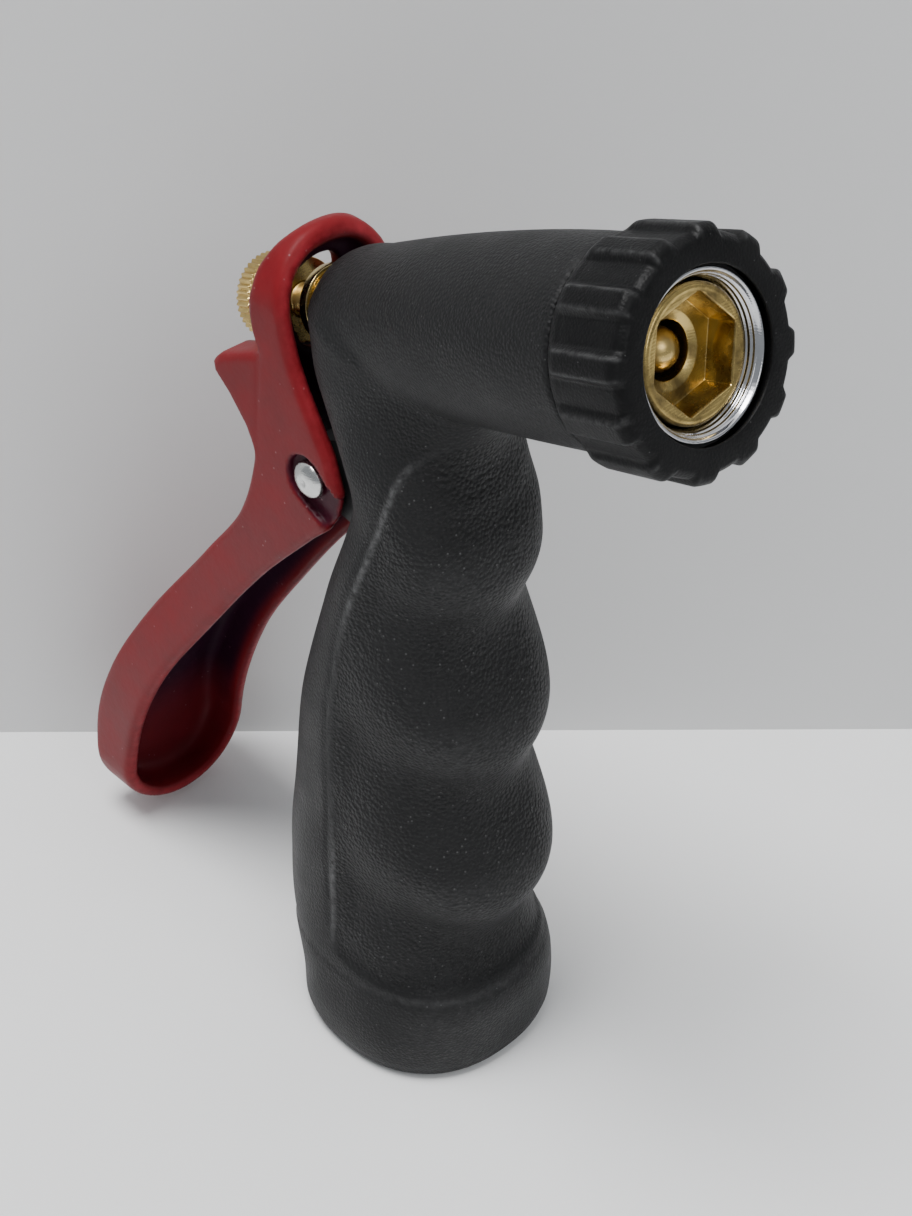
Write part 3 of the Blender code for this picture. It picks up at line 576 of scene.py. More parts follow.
def rubber_finish(name, colour, scale, depth, specks, roughness, specular):
    """Black moulded rubber: leather grain, coarser where the panel mark is 1, and paler along the edge
    mark: rubbed wear on the grip, a painted highlight along the bumper's ribs."""
    made, tree, shader, place = new_finish(name, roughness, Specular_IOR_Level=specular)
    fine = fill_group(tree, "Moulded grain", {"Vector": place, "Scale": scale, "Specks": specks})
    inputs = {"Vector": place, "Scale": scale * 0.75, "Specks": specks * 3.0}
    coarse = fill_group(tree, "Moulded grain", inputs)
    panel = mark(tree, "panel")
    deeper = math_node(tree, "MULTIPLY", coarse.outputs["Height"], 2.6)
    height = mix_value(tree, panel, fine.outputs["Height"], deeper)
    speck = mix_value(tree, panel, fine.outputs["Speck"], coarse.outputs["Speck"])
    pale = [min(1, c * 3.2 + 0.03) for c in colour]
    blotch = spread(tree, fine.outputs["Blotch"], 0.3, 0.7, 0.0, 0.55)
    base = mix_colour(tree, blotch, (*colour, 1), (*[c * 1.7 + 0.002 for c in colour], 1))
    # Pale specks: partly dust, partly painted glints of the grain, most on the panel
    specked = mix_colour(tree, math_node(tree, "MULTIPLY", speck, 0.4), base, (*[c + 0.16 for c in pale], 1))
    inputs = {
        "Color": specked,
        "Edge Color": (*[c + 0.12 for c in pale], 1),
        "Edge": mark(tree, "edge"),
        "Amount": 0.75,
        "Scale": 900.0,
        "Vector": place,
    }
    edge_tint = fill_group(tree, "Rubbed and highlit edges", inputs)
    rough = spread(tree, fine.outputs["Blotch"], 0.25, 0.75, roughness - 0.08, roughness + 0.1)
    paint(tree, shader, edge_tint.outputs["Color"], rough)
    bump(tree, shader, height, 0.7, depth)
    return made


def enamel_finish(colour, shade):
    """Red enamel on a casting: soft orange peel, painted shade where the hollow mark is 1, a painted
    highlight along the rims where the edge mark is high, and fine dust."""
    made, tree, shader, place = new_finish("Satin red enamel", 0.45, Specular_IOR_Level=0.12)
    peel = add_node(tree, "ShaderNodeTexNoise", {"Vector": place, "Scale": 700.0, "Detail": 3.0})
    inputs = {"Vector": place, "Scale": 90.0, "Detail": 6.0, "Roughness": 0.6}
    cloud = add_node(tree, "ShaderNodeTexNoise", inputs)
    grain = fill_group(tree, "Moulded grain", {"Vector": place, "Scale": 1400.0, "Specks": 0.06})
    darker, paler = [c * 0.82 for c in colour], [c * 1.12 for c in colour]
    base = mix_colour(tree, spread(tree, cloud.outputs[0], 0.35, 0.65), (*darker, 1), (*paler, 1))
    # Painted shade: the dark hollow colour is mixed in where the hollow mark is high
    hollow_shade = mix_colour(tree, mark(tree, "hollow"), base, (*shade, 1))
    dust = math_node(tree, "MULTIPLY", grain.outputs["Speck"], 0.35)
    inputs = {
        "Color": mix_colour(tree, dust, hollow_shade, (0.42, 0.3, 0.32, 1)),
        # Paler red painted along the lever's rim as its highlight
        "Edge Color": (0.34, 0.03, 0.04, 1),
        "Edge": mark(tree, "edge"),
        "Amount": 0.6,
        "Scale": 500.0,
        "Vector": place,
    }
    edge_tint = fill_group(tree, "Rubbed and highlit edges", inputs)
    paint(tree, shader, edge_tint.outputs["Color"], spread(tree, cloud.outputs[0], 0.3, 0.7, 0.34, 0.5))
    fine = math_node(tree, "MULTIPLY", grain.outputs["Height"], 0.15)
    bump(tree, shader, math_node(tree, "ADD", peel.outputs[0], fine), 0.25, 0.00012)
    return made


def metal_finish(name, colour, tarnish, amount, gloss):
    """Worked metal with the given tarnish."""
    made, tree, shader, place = new_finish(name, gloss, 1.0)
    inputs = {
        "Color": (*colour, 1),
        "Tarnish": (*tarnish, 1),
        "Amount": amount,
        "Gloss": gloss,
        "Vector": place,
    }
    metal = fill_group(tree, "Worked metal", inputs)
    paint(tree, shader, metal.outputs["Color"], metal.outputs["Roughness"])
    bump(tree, shader, metal.outputs["Height"], 0.12, 0.00006)
    return made


def plain_finish(name, colour, roughness, scale=600.0, depth=0.00008, cloud=0.2):
    """A moulded, cast or coated surface: cloudy colour, uneven gloss and a fine grain."""
    made, tree, shader, place = new_finish(name, roughness)
    grain = fill_group(tree, "Moulded grain", {"Vector": place, "Scale": scale, "Specks": 0.03})
    share = spread(tree, grain.outputs["Blotch"], 0.3, 0.7)
    darker, paler = [c * (1 - cloud) for c in colour], [min(1, c * (1 + cloud)) for c in colour]
    base = mix_colour(tree, share, (*darker, 1), (*paler, 1))
    rough = spread(tree, grain.outputs["Blotch"], 0.3, 0.7, roughness - 0.07, roughness + 0.08)
    paint(tree, shader, base, rough)
    bump(tree, shader, grain.outputs["Height"], 0.4, depth)
    return made


def see_through_behind(made):
    """Leaves a sheet's back side clear, so that the wall never hides the nozzle."""
    tree = made.node_tree
    behind = add_node(tree, "ShaderNodeNewGeometry").outputs["Backfacing"]
    clear = add_node(tree, "ShaderNodeBsdfTransparent").outputs[0]
    front = tree.nodes["Principled BSDF"].outputs[0]
    mixed = add_node(tree, "ShaderNodeMixShader", {0: behind, 1: front, 2: clear})
    tree.links.new(mixed.outputs[0], tree.nodes["Material Output"].inputs["Surface"])


# ---------------------------------------------------------------- the cover


def finger_groove(height):
    """Depth of the finger grooves: a cosine wave down the grip, skewed so that each floor sits high."""
    phase = tau * (FINGER_TOP - height) / FINGER_PITCH
    wave = 0.5 - 0.5 * np.cos(phase + FINGER_SKEW * (1 - np.cos(phase)))
    start = np.clip((height - FINGER_START) / FINGER_FADE, 0, 1)
    return FINGER_DEPTH * wave * start * (1 - THROAT_EASE * ramp(height, THROAT_LOW, THROAT_HIGH))


def barrel_top(s):
    """Height of the barrel's top line over its axis: the full radius less a power of the way back."""
    return BARREL_RADIUS - BARREL_TAPER * np.clip(BARREL_FRONT - s, 0, None) ** BARREL_TAPER_POWER


def groove_at(x, y, z):
    """Groove depth at a point: each groove climbs with the distance round the grip from its front line."""
    round_front = np.hypot(x, FRONT_FLAT) - FRONT_FLAT
    round_side = np.clip(y + smooth(GRIP_FRONT, z) - FINGER_DEPTH, 0, GROOVE_REACH)
    return finger_groove(z - GROOVE_SLANT * (round_front + round_side) * ramp(z, 20.0, 34.0))


def panel_distance(x, y, z):
    """Distance inside the finger panel's edge on the grip's side, negative outside it."""
    side = smooth(PANEL_SIDE, z) - y
    sagging_bottom = z - PANEL_BOTTOM - 0.01 * (y + 10) ** 2
    peaked_top = PANEL_TOP - 0.35 * np.abs(y + 16) - z
    return -overlap(-side, -np.minimum(sagging_bottom, peaked_top), PANEL_CORNER)


def grip_field(x, y, z):
    """Oval sections: the distance past a superellipse whose front line follows the finger grooves, cut
    off flat at the foot with a rounded edge."""
    plain = smooth(GRIP_FRONT, z)
    front, back = plain - groove_at(x, y, z), smooth(GRIP_BACK, z)
    width = smooth(GRIP_HALF_WIDTH, z)
    middle, depth = (back - front) / 2, (back + front) / 2
    powers = np.abs(x / width) ** GRIP_ROUNDNESS + np.abs((y - middle) / depth) ** GRIP_ROUNDNESS
    rho = powers ** (1 / GRIP_ROUNDNESS)
    side = np.hypot(x, y - middle) * (1 - 1 / np.maximum(rho, 0.05))
    return overlap(overlap(side, -z, FOOT_EDGE), z - GRIP_TOP, 1.0)


def barrel_field(x, up, s):
    """Round sections that thin towards the rear and close there in a blunt dome."""
    body = np.maximum(s, DOME_START)
    thinned = BARREL_RADIUS - barrel_top(body)
    half = np.where(up > 0, BARREL_RADIUS - thinned, BARREL_RADIUS - BELLY_THINNING * thinned)
    side = BARREL_RADIUS - SIDE_THINNING * thinned
    rho = np.hypot(x / side, up / half)
    dome = np.clip(DOME_START - s, 0, None) / DOME_LENGTH
    whole = (rho**DOME_ROUNDNESS + dome**DOME_ROUNDNESS) ** (1 / DOME_ROUNDNESS)
    return overlap((whole - 1) * MEAN_RADIUS, s - BARREL_FRONT, 0.6)


def cover_room(x, y, z):
    """Room inside the cover for the casting's cup, grip tube, barrel core and pivot lug."""
    up, s = to_barrel(y, z)
    cup = np.maximum(np.hypot(x, y) - CUP_RADIUS - GAP, z - CUP_TOP)
    tube = np.hypot(x, y - np.interp(z, *zip(*CORE_Y))) - np.interp(z, *zip(*CORE))
    tube = np.maximum(tube - GAP, np.maximum(CORE_BOTTOM - z, z - CORE_TOP))
    core = np.hypot(x, up) - np.interp(s, *zip(*BARREL_CORE)) - GAP
    nose = arc((PIVOT_Y, PIVOT_Z), LUG_RADIUS + GAP, -70, 80, 16)
    lug = np.maximum(outline_distance(y, z, nose + list(LUG_BLOCK)), np.abs(x) - LUG_HALF_WIDTH - GAP)
    return np.minimum(np.minimum(cup, tube), np.minimum(core, lug))


def cover_field(x, y, z):
    """Grip and barrel joined by a fillet that widens rearwards, the grooves' ends faded over the flanks,
    the finger panel let in behind its border groove, the foot band stepped out, less the casting's
    room."""
    up, s = to_barrel(y, z)
    fillet = 1.0 + 6.0 * (1 - ramp(s, -6.0, 5.0))
    skin = union(grip_field(x, y, z), barrel_field(x, up, s), fillet)
    inside = panel_distance(x, y, z)
    flank = ramp(np.abs(x), 6.0, 12.0) * ramp(inside, 0.3, 4.0)
    flank = flank * ramp(100.0 - z, 0, 8.0) * ramp(z, 22.0, 31.0)
    skin = skin + FLANK_SHARE * groove_at(x, y, z) * flank
    on_side = 1 - ramp(up, *UNDER_BARREL)
    thin = ramp(z, 94.0, 100.0) * ramp(-y, 5.0, 8.0)
    skin = skin + PANEL_DEPTH * (1 - thin) * ramp(inside, -0.4, 0.5) * on_side
    border = BORDER_GROOVE * bell(inside, -BORDER_OFFSET, BORDER_WIDTH)
    skin = skin + border * on_side * ramp(z, 20.0, 26.0) * (1 - thin)
    skin = skin - FOOT_BAND_STEP * (1 - ramp(z, FOOT_BAND_TOP - 1.2, FOOT_BAND_TOP)) * ramp(z, 2.0, 3.0)
    return overlap(skin, -cover_room(x, y, z), 0.25)


def make_cover():
    """The cover, with the panel marked for its coarser grain and the rubbed edges marked: the panel's
    lip, most at the top and bottom, the foot band's ledge, and the ridges between the grooves."""
    surface = skin_of(cover_field, *COVER_BOX, COVER_CELL)
    x, y, z = surface[0].T
    up, _ = to_barrel(y, z)
    inside = panel_distance(x, y, z)
    on_side = 1 - ramp(up, *UNDER_BARREL)
    lip = bell(inside, -0.1, 0.38) * on_side
    foot = bell(z, 16.2, 0.5) * 0.2
    ridge = ramp(3.2 - finger_groove(z), 1.6, 3.2) * ramp(-y, 8.0, 16.0) * 0.12 * on_side
    above = ramp(z, 72.0, 92.0) * ramp(112.0 - z, 0, 8.0)
    below = 0.8 * ramp(44.0, z - 6.0, z + 10.0)
    edge_tint = 0.25 + 0.75 * np.maximum(above, below)
    lip = lip * edge_tint * ramp(z, 18.0, 24.0) * (1 - 0.8 * ramp(-y, 8.0, 14.0))
    marks = {"panel": ramp(inside, -0.1, 0.6) * on_side, "edge": np.clip(lip + foot + ridge, 0, 1)}
    add_piece("grip_cover", surface, "nozzle", ["rubber_cover"], "Grained black rubber", marks)


# ---------------------------------------------------------------- the lever


def lever_back(inset=0.0):
    """Rear line of the lever, crown to toe, moved inwards by a wall's thickness."""
    crown = [(y - inset, z - inset) for y, z in CROWN]
    saddle = arc(SADDLE[:2], SADDLE[2] - inset, 14, -28, 14)
    heights = np.linspace(SLOT_BOTTOM + 2, LEVER_BACK[0][0] + inset, 70)
    line = smooth(LEVER_BACK, heights)
    handle = list(zip(line - inset * np.hypot(1, np.gradient(line, heights)), heights))
    return crown + saddle + handle


def lever_front_outline(inset=0.0):
    """Front outline: an arch over the stem, straight sides that widen downwards, and a spoon-shaped toe."""
    heights = np.linspace(90.0, TOE_Z + 7.0, 24)
    widening = (LEVER_END_HALF_WIDTH - LEVER_HALF_WIDTH) * ramp(70.0 - heights, 0, 45)
    width = LEVER_HALF_WIDTH + widening - inset
    left = list(zip(-width, heights))
    turn = np.radians(np.arange(180, 361, 7.5))
    across = (LEVER_END_HALF_WIDTH - inset) * np.cos(turn)
    toe = list(zip(across, TOE_Z + (TOE_LENGTH - inset) * np.sin(turn)))
    right = [(-x, z) for x, z in reversed(left)]
    return arc((0, ARCH_Z), LEVER_HALF_WIDTH - inset, 0, 180, 32) + left + toe + right


def lever_sides():
    """Side outlines of the lever's block, round the back, the front edge and the ear, and of its hollow."""
    rising = np.linspace(LEVER_FRONT[0][0], 87.0, 50)
    outer = lever_back() + list(zip(smooth(LEVER_FRONT, rising), rising)) + list(EAR)
    inner = lever_back(LEVER_WALL)
    return outer, inner + [(-8.0, inner[-1][1]), (-8.0, inner[0][1])]


def lever_parts(x, y, z):
    """The lever's outer block and the hollow in its front, each the rounded overlap of a side outline
    and a front outline."""
    outer, inner = lever_sides()
    side = union(outline_distance(y, z, outer), outline_distance(y, z, SPUR), 1.0)
    block = overlap(side, outline_distance(x, z, lever_front_outline()), 1.5)
    opening = outline_distance(x, z, lever_front_outline(LEVER_WALL))
    return block, overlap(outline_distance(y, z, inner), opening, 2.2)


def pivot_pocket(x, y, z):
    """Drop-shaped recess round the rivet, its tail running forward and down to the ear's edge."""
    along = np.clip(((y - PIVOT_Y) * -0.8 + (z - PIVOT_Z) * -0.6) / POCKET_TAIL, 0, 1)
    drop = np.hypot(y - PIVOT_Y + 7.2 * along, z - PIVOT_Z + 5.4 * along) - POCKET_RADIUS + 1.5 * along
    return overlap(drop, (LEVER_HALF_WIDTH - 1.25) - np.abs(x), 0.3)


def lever_field(x, y, z):
    """The block less the hollow, the stem's slot, the nut's scoop, the rivet's hole and its pockets."""
    block, hollow = lever_parts(x, y, z)
    body = overlap(block, -hollow, 0.7)
    slot_line = np.clip(z, SLOT_BOTTOM + SLOT_HALF_WIDTH, SLOT_TOP - SLOT_HALF_WIDTH)
    slot = np.maximum(np.hypot(x, z - slot_line) - SLOT_HALF_WIDTH, SLOT_FRONT - y)
    body = overlap(body, -slot, 0.5)
    up, s = to_barrel(y, z)
    scoop = np.maximum(np.hypot(x, up) - NUT_CLEARANCE, s - SADDLE_STATION)
    body = overlap(body, -scoop, 0.4)
    body = overlap(body, -pivot_pocket(x, y, z), 0.35)
    hole = np.hypot(y - PIVOT_Y, z - PIVOT_Z) - RIVET_HOLE
    return np.maximum(body, -hole)


def make_lever():
    """The lever, with its hollow and pockets marked for painted shade, less towards the toe, and
    the rim round the hollow marked for a painted highlight."""
    surface = skin_of(lever_field, *LEVER_BOX, LEVER_CELL)
    x, y, z = surface[0].T
    block, hollow = lever_parts(x, y, z)
    # Painted shade: the rivet's pocket, the hollow and the hollow's inner edge are darkened in colour, less
    # near the toe
    pocket = ramp(0.35 - pivot_pocket(x, y, z), 0.0, 0.3) * 0.8
    inner = bell(block, 0, 0.35) * bell(hollow, 0, 0.45)
    hollow_shade = np.maximum(ramp(-block, 0.7, 2.2), np.maximum(pocket, inner * 0.6))
    near_toe = ramp(26.0 - z, 0, 14.0)
    # Painted highlight: the rim round the hollow gets a paler red through the edge mark
    rim = bell(block, 0, 0.35) * bell(hollow, 1.0, 0.8)
    marks = {"hollow": hollow_shade * (1 - 0.75 * near_toe), "edge": np.clip(rim, 0, 1)}
    add_piece("red_lever", surface, "lever", ["squeeze_lever"], "Satin red enamel", marks)


# ---------------------------------------------------------------- turned pieces

CRISP = 40.0  # degrees past which a turned metal edge stays sharp


def add_turned(name, surface, body, nodes, finish):
    """Adds a turned metal piece, its edges crisp."""
    return add_piece(name, surface, body, nodes, finish, sharp=CRISP)


def flute_phase(turn):
    """0 in the middle of a rib and 1 in the middle of a flute."""
    return np.abs((turn * FLUTES / tau) % 1.0 - 0.5) * 2


def flute_depth(turn, s, r):
    """Flutes with flat floors and short S-shaped sides, which fade in behind the front edge and out at
    the rear."""
    along = ramp(s, BUMPER_BACK, BUMPER_BACK + 2.4) * ramp(r, 11.6, 14.6)
    return FLUTE_DEPTH * ramp(flute_phase(turn), 0.3, 0.6) * along


def make_bumper():
    """Ring profile: ramped rear, straight fluted side, rounded front edge, and a lipped front face. Its
    long sides are cut up finely, so that the flutes can bend them."""
    corners = [
        (BUMPER_BACK, BUMPER_BORE), (BUMPER_BACK, BARREL_RADIUS + 0.15),
        (BUMPER_BACK + 2.0, BUMPER_RADIUS - 0.3), (FACE - 1.0, BUMPER_RADIUS),
        (FACE - 0.1, BUMPER_RADIUS - 0.8), (FACE, 12.0), (FACE, BUMPER_LIP),
        (FACE - 0.6, BUMPER_LIP), (FACE - 0.6, BUMPER_BORE),
    ]
    profile = rounded(corners, 0.7, 6)
    fine = []
    for a, b in zip(profile, profile[1:] + profile[:1]):
        count = max(1, int(np.hypot(*(np.array(b) - a)) / 0.8))
        fine += [tuple(a + (np.array(b) - a) * k / count) for k in range(count)]
    surface = turned(fine, flute_depth, 480)
    x, y, z = surface[0].T
    up, _ = to_barrel(y, z)
    phase = flute_phase(np.arctan2(x, up) % tau)
    # Painted highlight: a pale line along both edges of every rib, given through the edge mark
    edge = bell(phase, 0.34, 0.07) * ramp(np.hypot(x, up), 13.2, 14.0) * 0.35
    marks = {"panel": 0 * edge, "edge": np.clip(edge, 0, 1)}
    add_piece("fluted_bumper", surface, "nozzle", ["front_bumper"], "Smooth black rubber", marks)


def hex_socket(turn, s, r):
    """Draws a round wall out to a hexagon: the flats' distance over the cosine of the turn from the
    middle of the nearest flat."""
    wall = ramp(r, 5.0, 5.8) * (1 - ramp(r, 6.9, 7.1))
    off_flat = np.abs((turn - radians(HEX_TURN)) % (pi / 3) - pi / 6)
    return -wall * (HEX_HALF_FLATS / np.cos(off_flat) - HEX_HALF_FLATS)


def make_mouth():
    """The chrome collar with its thread, the brass seat with a hexagon socket, and the valve's tip."""
    thread = [(COLLAR_FACE - 0.5 - 0.3 * k, 9.3 - 0.22 * (k % 2) - 0.1 * k) for k in range(7)]
    collar = [(38.2, 8.5), (38.2, 9.1), (49.9, 9.1), (49.9, 9.95), (COLLAR_FACE, 9.95), (COLLAR_FACE, 9.55)]
    surface = turned(rounded(collar + thread + [(48.0, 8.5)], 0.15, 4), None, 200)
    add_piece("chrome_collar", surface, "nozzle", ["outlet_collar"], "Bright chrome")
    front, floor = SEAT_FACE, SEAT_FACE - HEX_DEPTH
    corners = [
        (38.2, 3.4), (38.2, 8.2), (front - 0.35, 8.2), (front, 7.85), (front + 0.05, 7.5), (front, 7.2),
        (front, 6.35), (front - 0.3, 6.17), (floor, HEX_HALF_FLATS), (floor, 4.6), (floor - 0.4, 3.5),
    ]
    surface = turned(rounded(corners, 0.12, 3), hex_socket, 240)
    add_turned("brass_seat", surface, "nozzle", ["seat_insert"], "Bright machined brass")

    dome = [(42.9 + 2.6 * sin(a), 2.72 * cos(a)) for a in np.linspace(0, pi / 2, 12)]
    tip = [(34.4, 0), (34.4, 2.1), (38.0, 2.1), (38.2, 2.72)] + dome[:-1] + [(45.5, 0)]
    surface = turned(tip, None, 96)
    add_turned("valve_tip", surface, "valve", ["stem_tip"], "Machined brass")


def knurl(count, depth, above):
    """Straight knurling: rounded teeth round the rim, wherever the radius is above a limit."""
    return lambda turn, s, r: depth * (0.5 - 0.5 * np.cos(turn * count)) * ramp(r, above - 0.15, above)


def make_gland():
    """Gland nut: a turned stack of steps that widen towards the lever, with rounded edges."""
    start = -14.0
    corners = [(-3.9, GLAND_BORE), (-3.9, GLAND_NECK), (start, GLAND_NECK)]
    for end, radius in GLAND_STEPS:
        corners += [(start, radius), (end + 0.25, radius), (end + 0.25, radius - 0.3), (end, radius - 0.3)]
        start = end
    corners += [(start, 3.6), (GLAND_END, 3.5), (GLAND_END, GLAND_BORE)]
    surface = turned(rounded(corners, 0.2, 4), None, 120)
    add_turned("gland_stack", surface, "nozzle", ["gland_nut"], "Polished gland brass")


def make_stem():
    """Stem: a rod whose rear end carries fine rolled thread rings."""
    profile = [(STEM_REAR, 0), (STEM_REAR, 1.95)]
    for k in range(STEM_RINGS):
        profile.append((STEM_REAR + 0.35 + RING_PITCH * k, STEM_RADIUS - RING_DEPTH * (k % 2)))
    profile += [(STEM_FRONT - 0.1, STEM_RADIUS), (STEM_FRONT, 0)]
    surface = turned(profile, None, 64)
    add_turned("threaded_stem", surface, "valve", ["valve_stem"], "Machined brass")


def make_adjuster():
    """The washer on the lever's saddle and the knurled nut behind it."""
    washer = rounded([(-24.8, 2.5), (-24.8, 5.8), (-23.65, 5.8), (-23.65, 2.5)], 0.2)
    surface = turned(washer, None, 120)
    add_turned("saddle_washer", surface, "nut carriage", ["nut_washer"], "Machined brass")
    corners = [
        (-25.1, 2.49), (-25.1, 5.3), (-25.6, 6.1), (-28.0, 6.1), (-28.15, 5.75), (-28.35, 5.75),
        (-28.5, 6.1), (-31.1, 6.1), (-31.6, 5.3), (-31.6, 3.4), (-31.2, 2.49),
    ]
    surface = turned(rounded(corners, 0.25, 4), knurl(44, 0.32, 5.9), 352)
    add_turned("knurled_nut", surface, "adjusting nut", ["adjusting_nut"], "Machined brass")


def make_rivet():
    """Rivet head and retainer: shallow domes with a small dimple, turned about the pivot's axis."""
    seat = LEVER_HALF_WIDTH - 1.0 + 0.2
    dome = []
    for bend in np.linspace(0, pi / 2, 14):
        radius = 2.8 * cos(bend)
        dimple = 0.35 * float(ramp(0.9 - radius, 0, 0.9))
        dome.append((seat + 1.5 * sin(bend) - dimple, radius))
    head = [(-s, r) for s, r in reversed(dome)]
    head[0] = (head[0][0], 0)
    rivet = head + [(-seat, 1.5), (seat + 0.5, 1.5), (seat + 0.5, 0)]
    cap = [(seat + 0.8, 0), (seat + 0.8, RIVET_HOLE), (seat, RIVET_HOLE)] + dome
    cap[-1] = (cap[-1][0], 0)
    for name, profile, node in (("rivet", rivet, "pivot_rivet"), ("retainer", cap, "rivet_retainer")):
        made, quads, ends = turned(profile, None, 72)
        up, s = to_barrel(made[:, 1], made[:, 2])
        surface = (np.stack([s, PIVOT_Y + made[:, 0], PIVOT_Z + up], 1), quads, ends)
        add_turned(f"lever_{name}", surface, "nozzle", [node], "Bright plated steel")


def make_hose_washer():
    """Flat seal in the inlet, with rounded edges, turned about the inlet's axis."""
    low, high = (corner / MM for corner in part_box("hose_washer"))
    corners = rounded([(low.z, 8.6), (low.z, 12.6), (high.z, 12.6), (high.z, 8.6)], 0.5)
    made, quads, ends = turned(corners, None, 120)
    up, s = to_barrel(made[:, 1], made[:, 2])
    surface = (np.stack([made[:, 0], up, s], 1), quads, ends)
    add_piece("inlet_washer", surface, "nozzle", ["hose_washer"], "Black nitrile")


def dress_hidden_pieces():
    """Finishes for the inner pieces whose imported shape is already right."""
    for node, name in (
        ("body_casting", "Black coated casting"),
        ("seat_gasket", "Black nitrile"),
        ("stem_packing", "Black nitrile"),
        ("valve_seal", "Black nitrile"),
        ("valve_washer", "Machined brass"),
        ("packing_washer", "Machined brass"),
        ("spring_seat", "Machined brass"),
        ("spacer_left", "Natural nylon"),
        ("spacer_right", "Natural nylon"),
    ):
        for slot in frame["nodes"][node].material_slots:
            slot.material = bpy.data.materials[name]


def make_spring():
    """Return spring: a round wire carried along a helix whose last turns close up at both ends."""
    start, end = SPRING_BACK + SPRING_WIRE, SPRING_FRONT - SPRING_WIRE
    steps, sides = 700, 12
    t = np.linspace(0, 1, steps)[:, None]
    turn = t * SPRING_COILS * tau
    s = start + (end - start) * (t - 0.035 * np.sin(tau * t))
    section = np.linspace(0, tau, sides, endpoint=False)[None]
    r = SPRING_RADIUS + SPRING_WIRE * np.cos(section)
    along = s + SPRING_WIRE * np.sin(section)
    points = from_barrel(r * np.cos(turn), r * np.sin(turn), along).reshape(-1, 3)
    quads = grid_faces(steps, sides, False)
    tip = turn[[0, -1], 0]
    centres = from_barrel(SPRING_RADIUS * np.cos(tip), SPRING_RADIUS * np.sin(tip), s[[0, -1], 0])
    fans = end_fans(len(points), (steps - 1) * sides, sides)
    surface = (np.concatenate([points, centres]), quads, fans)
    spring = add_piece("coil_spring", surface, "nozzle", ["return_spring"], "Spring wire")
    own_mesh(spring)


# ---------------------------------------------------------------- stage


def make_stage():
    """Floor and wall, each a sheet with its own finish, the wall square to the camera's heading."""
    heading = np.array([sin(radians(-CAMERA_AZIMUTH)), cos(radians(CAMERA_AZIMUTH))])
    across = np.array([heading[1], -heading[0]])
    foot = np.array(CAMERA_SPOT[:2]) + WALL_DISTANCE * heading
    for name, reach, rise in (("floor", STAGE_REACH, 0.0), ("wall", 0.0, WALL_HEIGHT)):
        corners = []
        for side, share in ((-1, 0), (1, 0), (1, 1), (-1, 1)):
            spot = foot + side * STAGE_REACH * across + (2 * share - 1) * reach * heading
            corners.append((*spot, share * rise))
        mesh = bpy.data.meshes.new(name)
        mesh.from_pydata(corners, [], [(0, 1, 2, 3)])
        mesh.materials.append(bpy.data.materials[f"Matt {name}"])
        sheet = bpy.data.objects.new(name, mesh)
        bpy.context.scene.collection.objects.link(sheet)


def make_light(scene, power):
    """A dim room all round, and soft round lamps that point at the nozzle's middle."""
    world = bpy.data.worlds.new("Soft room")
    scene.world = world
    world.use_nodes = True
    room = world.node_tree.nodes["Background"]
    room.inputs["Color"].default_value = ROOM_COLOUR
    room.inputs["Strength"].default_value = ROOM_STRENGTH
    for name, place, size, share in LAMPS:
        data = bpy.data.lights.new(name, "AREA")
        data.shape = "DISK"
        data.size = size
        data.energy = power * share
        lamp = bpy.data.objects.new(name, data)
        scene.collection.objects.link(lamp)
        lamp.location = place
        lamp.rotation_euler = (Vector(LAMP_AIM) - lamp.location).to_track_quat("-Z", "Y").to_euler()


def make_camera(scene):
    """The camera, turned by its azimuth, then pitched down, then rolled about its own line of sight."""
    azimuth, pitch, roll = radians(CAMERA_AZIMUTH), radians(CAMERA_PITCH), radians(CAMERA_ROLL)
    back = Vector((sin(azimuth) * cos(pitch), -cos(azimuth) * cos(pitch), sin(pitch)))
    right = (-back).cross(Vector((0, 0, 1))).normalized()
    up = right.cross(-back)
    across = right * cos(roll) + up * sin(roll)
    above = up * cos(roll) - right * sin(roll)
    data = bpy.data.cameras.new("camera")
    data.sensor_width = 36.0
    data.lens = CAMERA_LENS
    camera = bpy.data.objects.new("camera", data)
    scene.collection.objects.link(camera)
    facing = Matrix((across, above, back)).transposed().to_4x4()
    camera.matrix_world = Matrix.Translation(CAMERA_SPOT) @ facing
    scene.camera = camera


